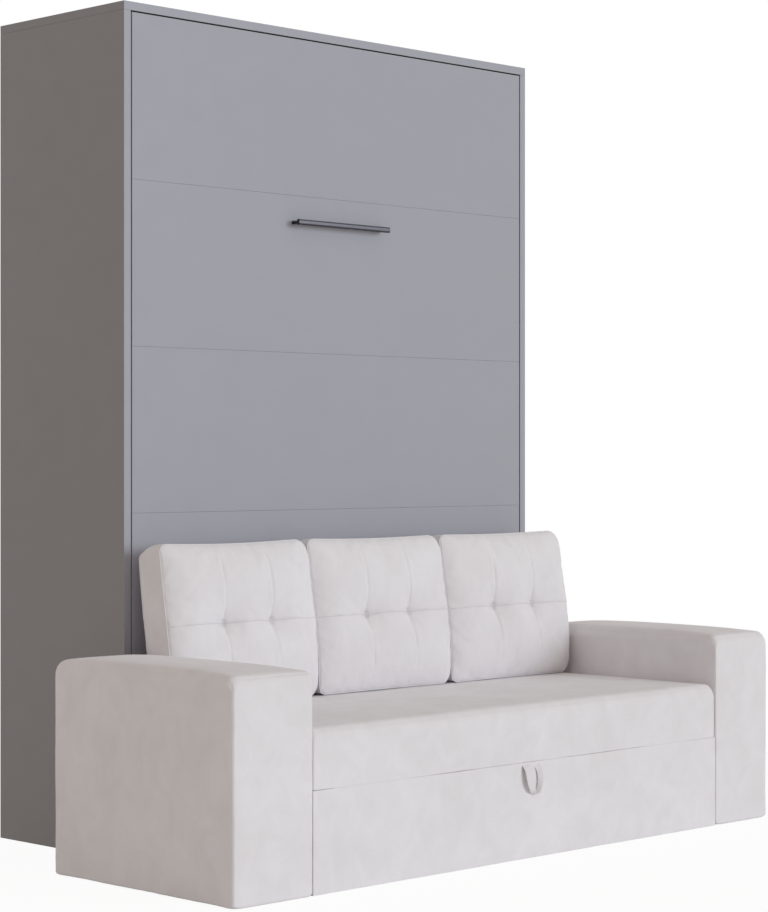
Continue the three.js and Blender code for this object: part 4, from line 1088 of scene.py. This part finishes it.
def pull_loop():
    low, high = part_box("pull_loop")
    route = through(LOOP_ROUTE, np.linspace(0, 1, LOOP_STEPS))
    top = high.z - 1 * MM
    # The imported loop's foremost point gives the place of the plane that the route is measured from.
    reach = np.max(route[:, 1] + np.abs(route[:, 4]) * route[:, 6]) * MM + LOOP_THICKNESS / 2
    near = low.y + reach
    middles = np.stack([route[:, 0] * MM, near - route[:, 1] * MM, top - route[:, 2] * MM], axis=1)
    widths = np.stack([route[:, 3], -route[:, 4], route[:, 5]], axis=1)
    halves = route[:, 6] * MM
    piece = strap_mesh("fabric_loop", middles, widths, halves, LOOP_THICKNESS, materials["piping"], 0.35)
    smooth_by_subdivision(piece)
    finish_piece(piece, "drawer", "upholstery", "pull_loop")


pull_loop()


# Mattress

QUILT = 120 * MM
QUILT_DEPTH = 5.5 * MM
BORDER_ROWS = 3
BORDER_DEPTH = 2.5 * MM
MATTRESS_IN_TOP = 8 * MM
MATTRESS_ROUND = 26 * MM
MATTRESS_WAVE = 1.2 * MM
TAPE_RADIUS = 3.4 * MM
TAPE_FROM_FACE = 22 * MM
TAPE_INSET = 0.6 * MM


def mattress():
    low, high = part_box("mattress")
    high.y -= MATTRESS_IN_TOP
    columns = round((high.x - low.x) / QUILT)
    rows = round((high.z - low.z) / QUILT)
    xs = np.linspace(low.x, high.x, columns + 1)[1:-1]
    zs = np.linspace(low.z, high.z, rows + 1)[1:-1]
    radii = ((MATTRESS_ROUND, MATTRESS_ROUND),) * 3
    lines = (tuple(xs), (), tuple(zs))
    points, faces, _ = rounded_block(low, high, radii, 17 * MM, {"y+": 6 * MM}, lines)
    piece = mesh_object("mattress_body", points, faces, materials["mattress_cloth"])
    normals = normals_of(piece)
    u = np.pi * (points[:, 0] - low.x) / (high.x - low.x) * columns
    v = np.pi * (points[:, 2] - low.z) / (high.z - low.z) * rows
    flat_face = unit((np.abs(normals[:, 1]) - 0.75) / 0.2)
    pillow = np.sqrt(np.abs(np.sin(u) * np.sin(v)))
    offset = (pillow - 1) * QUILT_DEPTH * flat_face
    side = unit(1 - np.abs(normals[:, 1]) * 1.8)
    band = np.abs(np.sin(np.pi * BORDER_ROWS * (points[:, 1] - low.y) / (high.y - low.y)))
    offset += (np.sqrt(band) - 1) * BORDER_DEPTH * side
    offset += MATTRESS_WAVE * (noise_at(points, 4.0, 31) * (flat_face + side) - 1)
    move_points(piece, points + normals * offset[:, None])
    finish_piece(piece, "bed", "mattress_cloth", "mattress")
    edges = (low.x + TAPE_INSET, high.x - TAPE_INSET, low.z + TAPE_INSET, high.z - TAPE_INSET)
    for end, y in (("lower", low.y + TAPE_FROM_FACE), ("upper", high.y - TAPE_FROM_FACE)):
        path = rounded_ring(*edges, MATTRESS_ROUND, y)
        tape = cord_along(f"mattress_tape_{end}", path, TAPE_RADIUS, materials["mattress_cloth"])
        finish_piece(tape, "bed", "mattress_cloth")


def rounded_ring(x0, x1, z0, z1, radius, y, steps=8):
    """Points round a rectangle with rounded corners, in the plane of one Y."""
    path = []
    corners = ((x1, z0, -1, 1, -90), (x1, z1, -1, -1, 0), (x0, z1, 1, -1, 90), (x0, z0, 1, 1, 180))
    for x, z, sx, sz, start in corners:
        for i in range(steps + 1):
            angle = math.radians(start + 90 * i / steps)
            across, up = sx + math.cos(angle), sz + math.sin(angle)
            path.append(Vector((x + radius * across, y, z + radius * up)))
    return path


STRAP_THICKNESS = 2.3 * MM
STRAP_BEND = 22 * MM


def mattress_strap(number):
    node = f"mattress_strap_{number}"
    low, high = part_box(node)
    x, y0, y1 = high.x - STRAP_THICKNESS / 2, low.y + 1 * MM, high.y - STRAP_THICKNESS / 2
    inner_x, inner_y = x - STRAP_BEND, y1 - STRAP_BEND
    turn = [math.radians(a) for a in range(0, 91, 10)]
    right = [(inner_x + STRAP_BEND * math.cos(a), inner_y + STRAP_BEND * math.sin(a)) for a in turn]
    rise = [(x, y0 + (inner_y - y0) * i / 8) for i in range(8)]
    span = [(inner_x - 2 * inner_x * i / 60, y1) for i in range(1, 60)]
    half = rise + right
    path = half + span + [(-px, py) for px, py in reversed(half)]
    middle = (low.z + high.z) / 2
    middles = np.array([(px, py, middle) for px, py in path])
    widths = np.tile(np.array([0.0, 0.0, 1.0]), (len(path), 1))
    halves = np.full(len(path), (high.z - low.z) / 2)
    name = f"mattress_webbing_{number}"
    piece = strap_mesh(name, middles, widths, halves, STRAP_THICKNESS, materials["webbing"], 0.12)
    finish_piece(piece, "bed", "webbing", node)
    strap_buckle(number, middle, high.y)


BUCKLE_WIRE = 2.2 * MM
BUCKLE_X = 215 * MM
BUCKLE_HALF_X = 15 * MM
BUCKLE_HALF_Z = 25 * MM


def strap_buckle(number, z, y):
    """A wire buckle that the strap is threaded through, with its bar across the strap."""
    level = y + 0.6 * BUCKLE_WIRE
    edges = (BUCKLE_X - BUCKLE_HALF_X, BUCKLE_X + BUCKLE_HALF_X, z - BUCKLE_HALF_Z, z + BUCKLE_HALF_Z)
    path = rounded_ring(*edges, 5 * MM, level)
    ring = cord_along(f"strap_buckle_{number}", path, BUCKLE_WIRE, materials["bright_steel"])
    finish_piece(ring, "bed", "bright_steel")
    bar = [Vector((BUCKLE_X, level + 0.4 * BUCKLE_WIRE, z + side * BUCKLE_HALF_Z)) for side in (-1, 1)]
    pin = cord_along(f"strap_buckle_bar_{number}", bar, BUCKLE_WIRE, materials["bright_steel"], closed=False)
    finish_piece(pin, "bed", "bright_steel")


mattress()
for number in (1, 2):
    mattress_strap(number)


# Screws in the cabinet's back

SCREW_PITCH = 205 * MM
SCREW_INSET = 9 * MM
SCREW_SIDES = 16
# The radius and the height of each ring of a screw's head, in millimetres.
SCREW_RINGS = ((4.0, -0.1), (3.7, 0.8), (2.6, 1.4), (1.3, 1.5), (0.8, 0.6))


def evenly(start, end, pitch):
    return np.linspace(start, end, round((end - start) / pitch) + 1)


def back_panel_screws():
    """Small round screw heads round the back panel's edge, each with a hollow for the driver."""
    low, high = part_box("back_panel")
    across = evenly(low.x + SCREW_INSET, high.x - SCREW_INSET, SCREW_PITCH)
    up = evenly(low.z + SCREW_INSET, high.z - SCREW_INSET, SCREW_PITCH)
    places = [(x, z) for x in (across[0], across[-1]) for z in up]
    places += [(x, z) for z in (up[0], up[-1]) for x in across[1:-1]]
    shape = bmesh.new()
    turn = [math.tau * i / SCREW_SIDES for i in range(SCREW_SIDES)]
    for x, z in places:
        rings = []
        for radius, out in SCREW_RINGS:
            r, y = radius * MM, high.y + out * MM
            rings.append([shape.verts.new((x + r * math.cos(a), y, z + r * math.sin(a))) for a in turn])
        for first, second in zip(rings, rings[1:]):
            for i in range(SCREW_SIDES):
                k = (i + 1) % SCREW_SIDES
                shape.faces.new([first[k], first[i], second[i], second[k]])
        shape.faces.new(rings[0])
        shape.faces.new(list(reversed(rings[-1])))
    piece = bmesh_object("back_panel_screws", shape, materials["bright_steel"])
    finish_piece(piece, "cabinet", "bright_steel")


back_panel_screws()


# Stage

FLOOR_SIZE = 60.0
FLOOR_LIFT = 0.94
FADE_START = 1.15
FADE_END = 2.3
FILL_COLOUR = (1.0, 0.93, 0.865, 1)
FILL_STRENGTH = 0.54
KEY_STRENGTH = 1.4
KEY_ANGLE = math.radians(26)
KEY_COLOUR = (0.826, 0.922, 1.0)
KEY_DIRECTION = Vector((-0.37, 0.916, -0.15))
CAMERA_LENS = 95.6
CAMERA_PLACE = (-4.6313, -4.7090, 1.0253)
CAMERA_TURN = (math.radians(90), 0, -0.7848)


def stage_floor():
    """A white floor that keeps a soft shadow near the furniture and runs into the white backdrop."""
    m = Material("studio floor", Base_Color=(0.9, 0.9, 0.9, 1), Roughness=0.8, Specular_IOR_Level=0.1)
    position = m.add("NewGeometry").outputs["Position"]
    distance = m.add("VectorMath", {0: position}, operation="LENGTH").outputs["Value"]
    far = m.spread(distance, FADE_START, FADE_END)
    white = m.add("Emission", {"Color": (1, 1, 1, 1)}).outputs[0]
    ray = m.add("LightPath").outputs
    seen = m.math("MAXIMUM", ray["Is Camera Ray"], ray["Is Glossy Ray"])
    lift = m.math("MULTIPLY", m.math("MAXIMUM", far, FLOOR_LIFT), seen)
    m.show(lift, m.shader.outputs[0], white, "Material Output")
    shape = bmesh.new()
    bmesh.ops.create_grid(shape, x_segments=1, y_segments=1, size=FLOOR_SIZE)
    floor = bmesh_object("floor", shape, m.material)


def world():
    """Soft warm light from all round, behind a backdrop that is seen as white."""
    sky = bpy.data.worlds.new("studio")
    bpy.context.scene.world = sky
    w = Nodes(sky)
    fill = w.nodes["Background"]
    fill.inputs["Color"].default_value = FILL_COLOUR
    fill.inputs["Strength"].default_value = FILL_STRENGTH
    white = w.add("Background", {"Color": (1, 1, 1, 1)}).outputs[0]
    ray = w.add("LightPath").outputs
    seen = w.math("MAXIMUM", ray["Is Camera Ray"], ray["Is Glossy Ray"])
    seen = w.math("MAXIMUM", seen, ray["Is Transmission Ray"])
    w.show(seen, fill.outputs[0], white, "World Output")


def key_light():
    """A broad, distant lamp in front of the sofa, a little above it and to its right."""
    light = bpy.data.lights.new("key", "SUN")
    light.energy = KEY_STRENGTH
    light.angle = KEY_ANGLE
    light.color = KEY_COLOUR
    holder = placed("key", light)
    holder.rotation_euler = KEY_DIRECTION.to_track_quat("-Z", "Y").to_euler()


def camera():
    """The photograph's view: lens and place come from fitting the cabinet's and the sofa's corners."""
    data = bpy.data.cameras.new("camera")
    data.lens = CAMERA_LENS
    data.clip_end = 200.0
    holder = placed("camera", data)
    holder.location = CAMERA_PLACE
    holder.rotation_euler = CAMERA_TURN
    bpy.context.scene.camera = holder


stage_floor()
world()
key_light()
camera()

bpy.context.scene.view_settings.view_transform = "Standard"
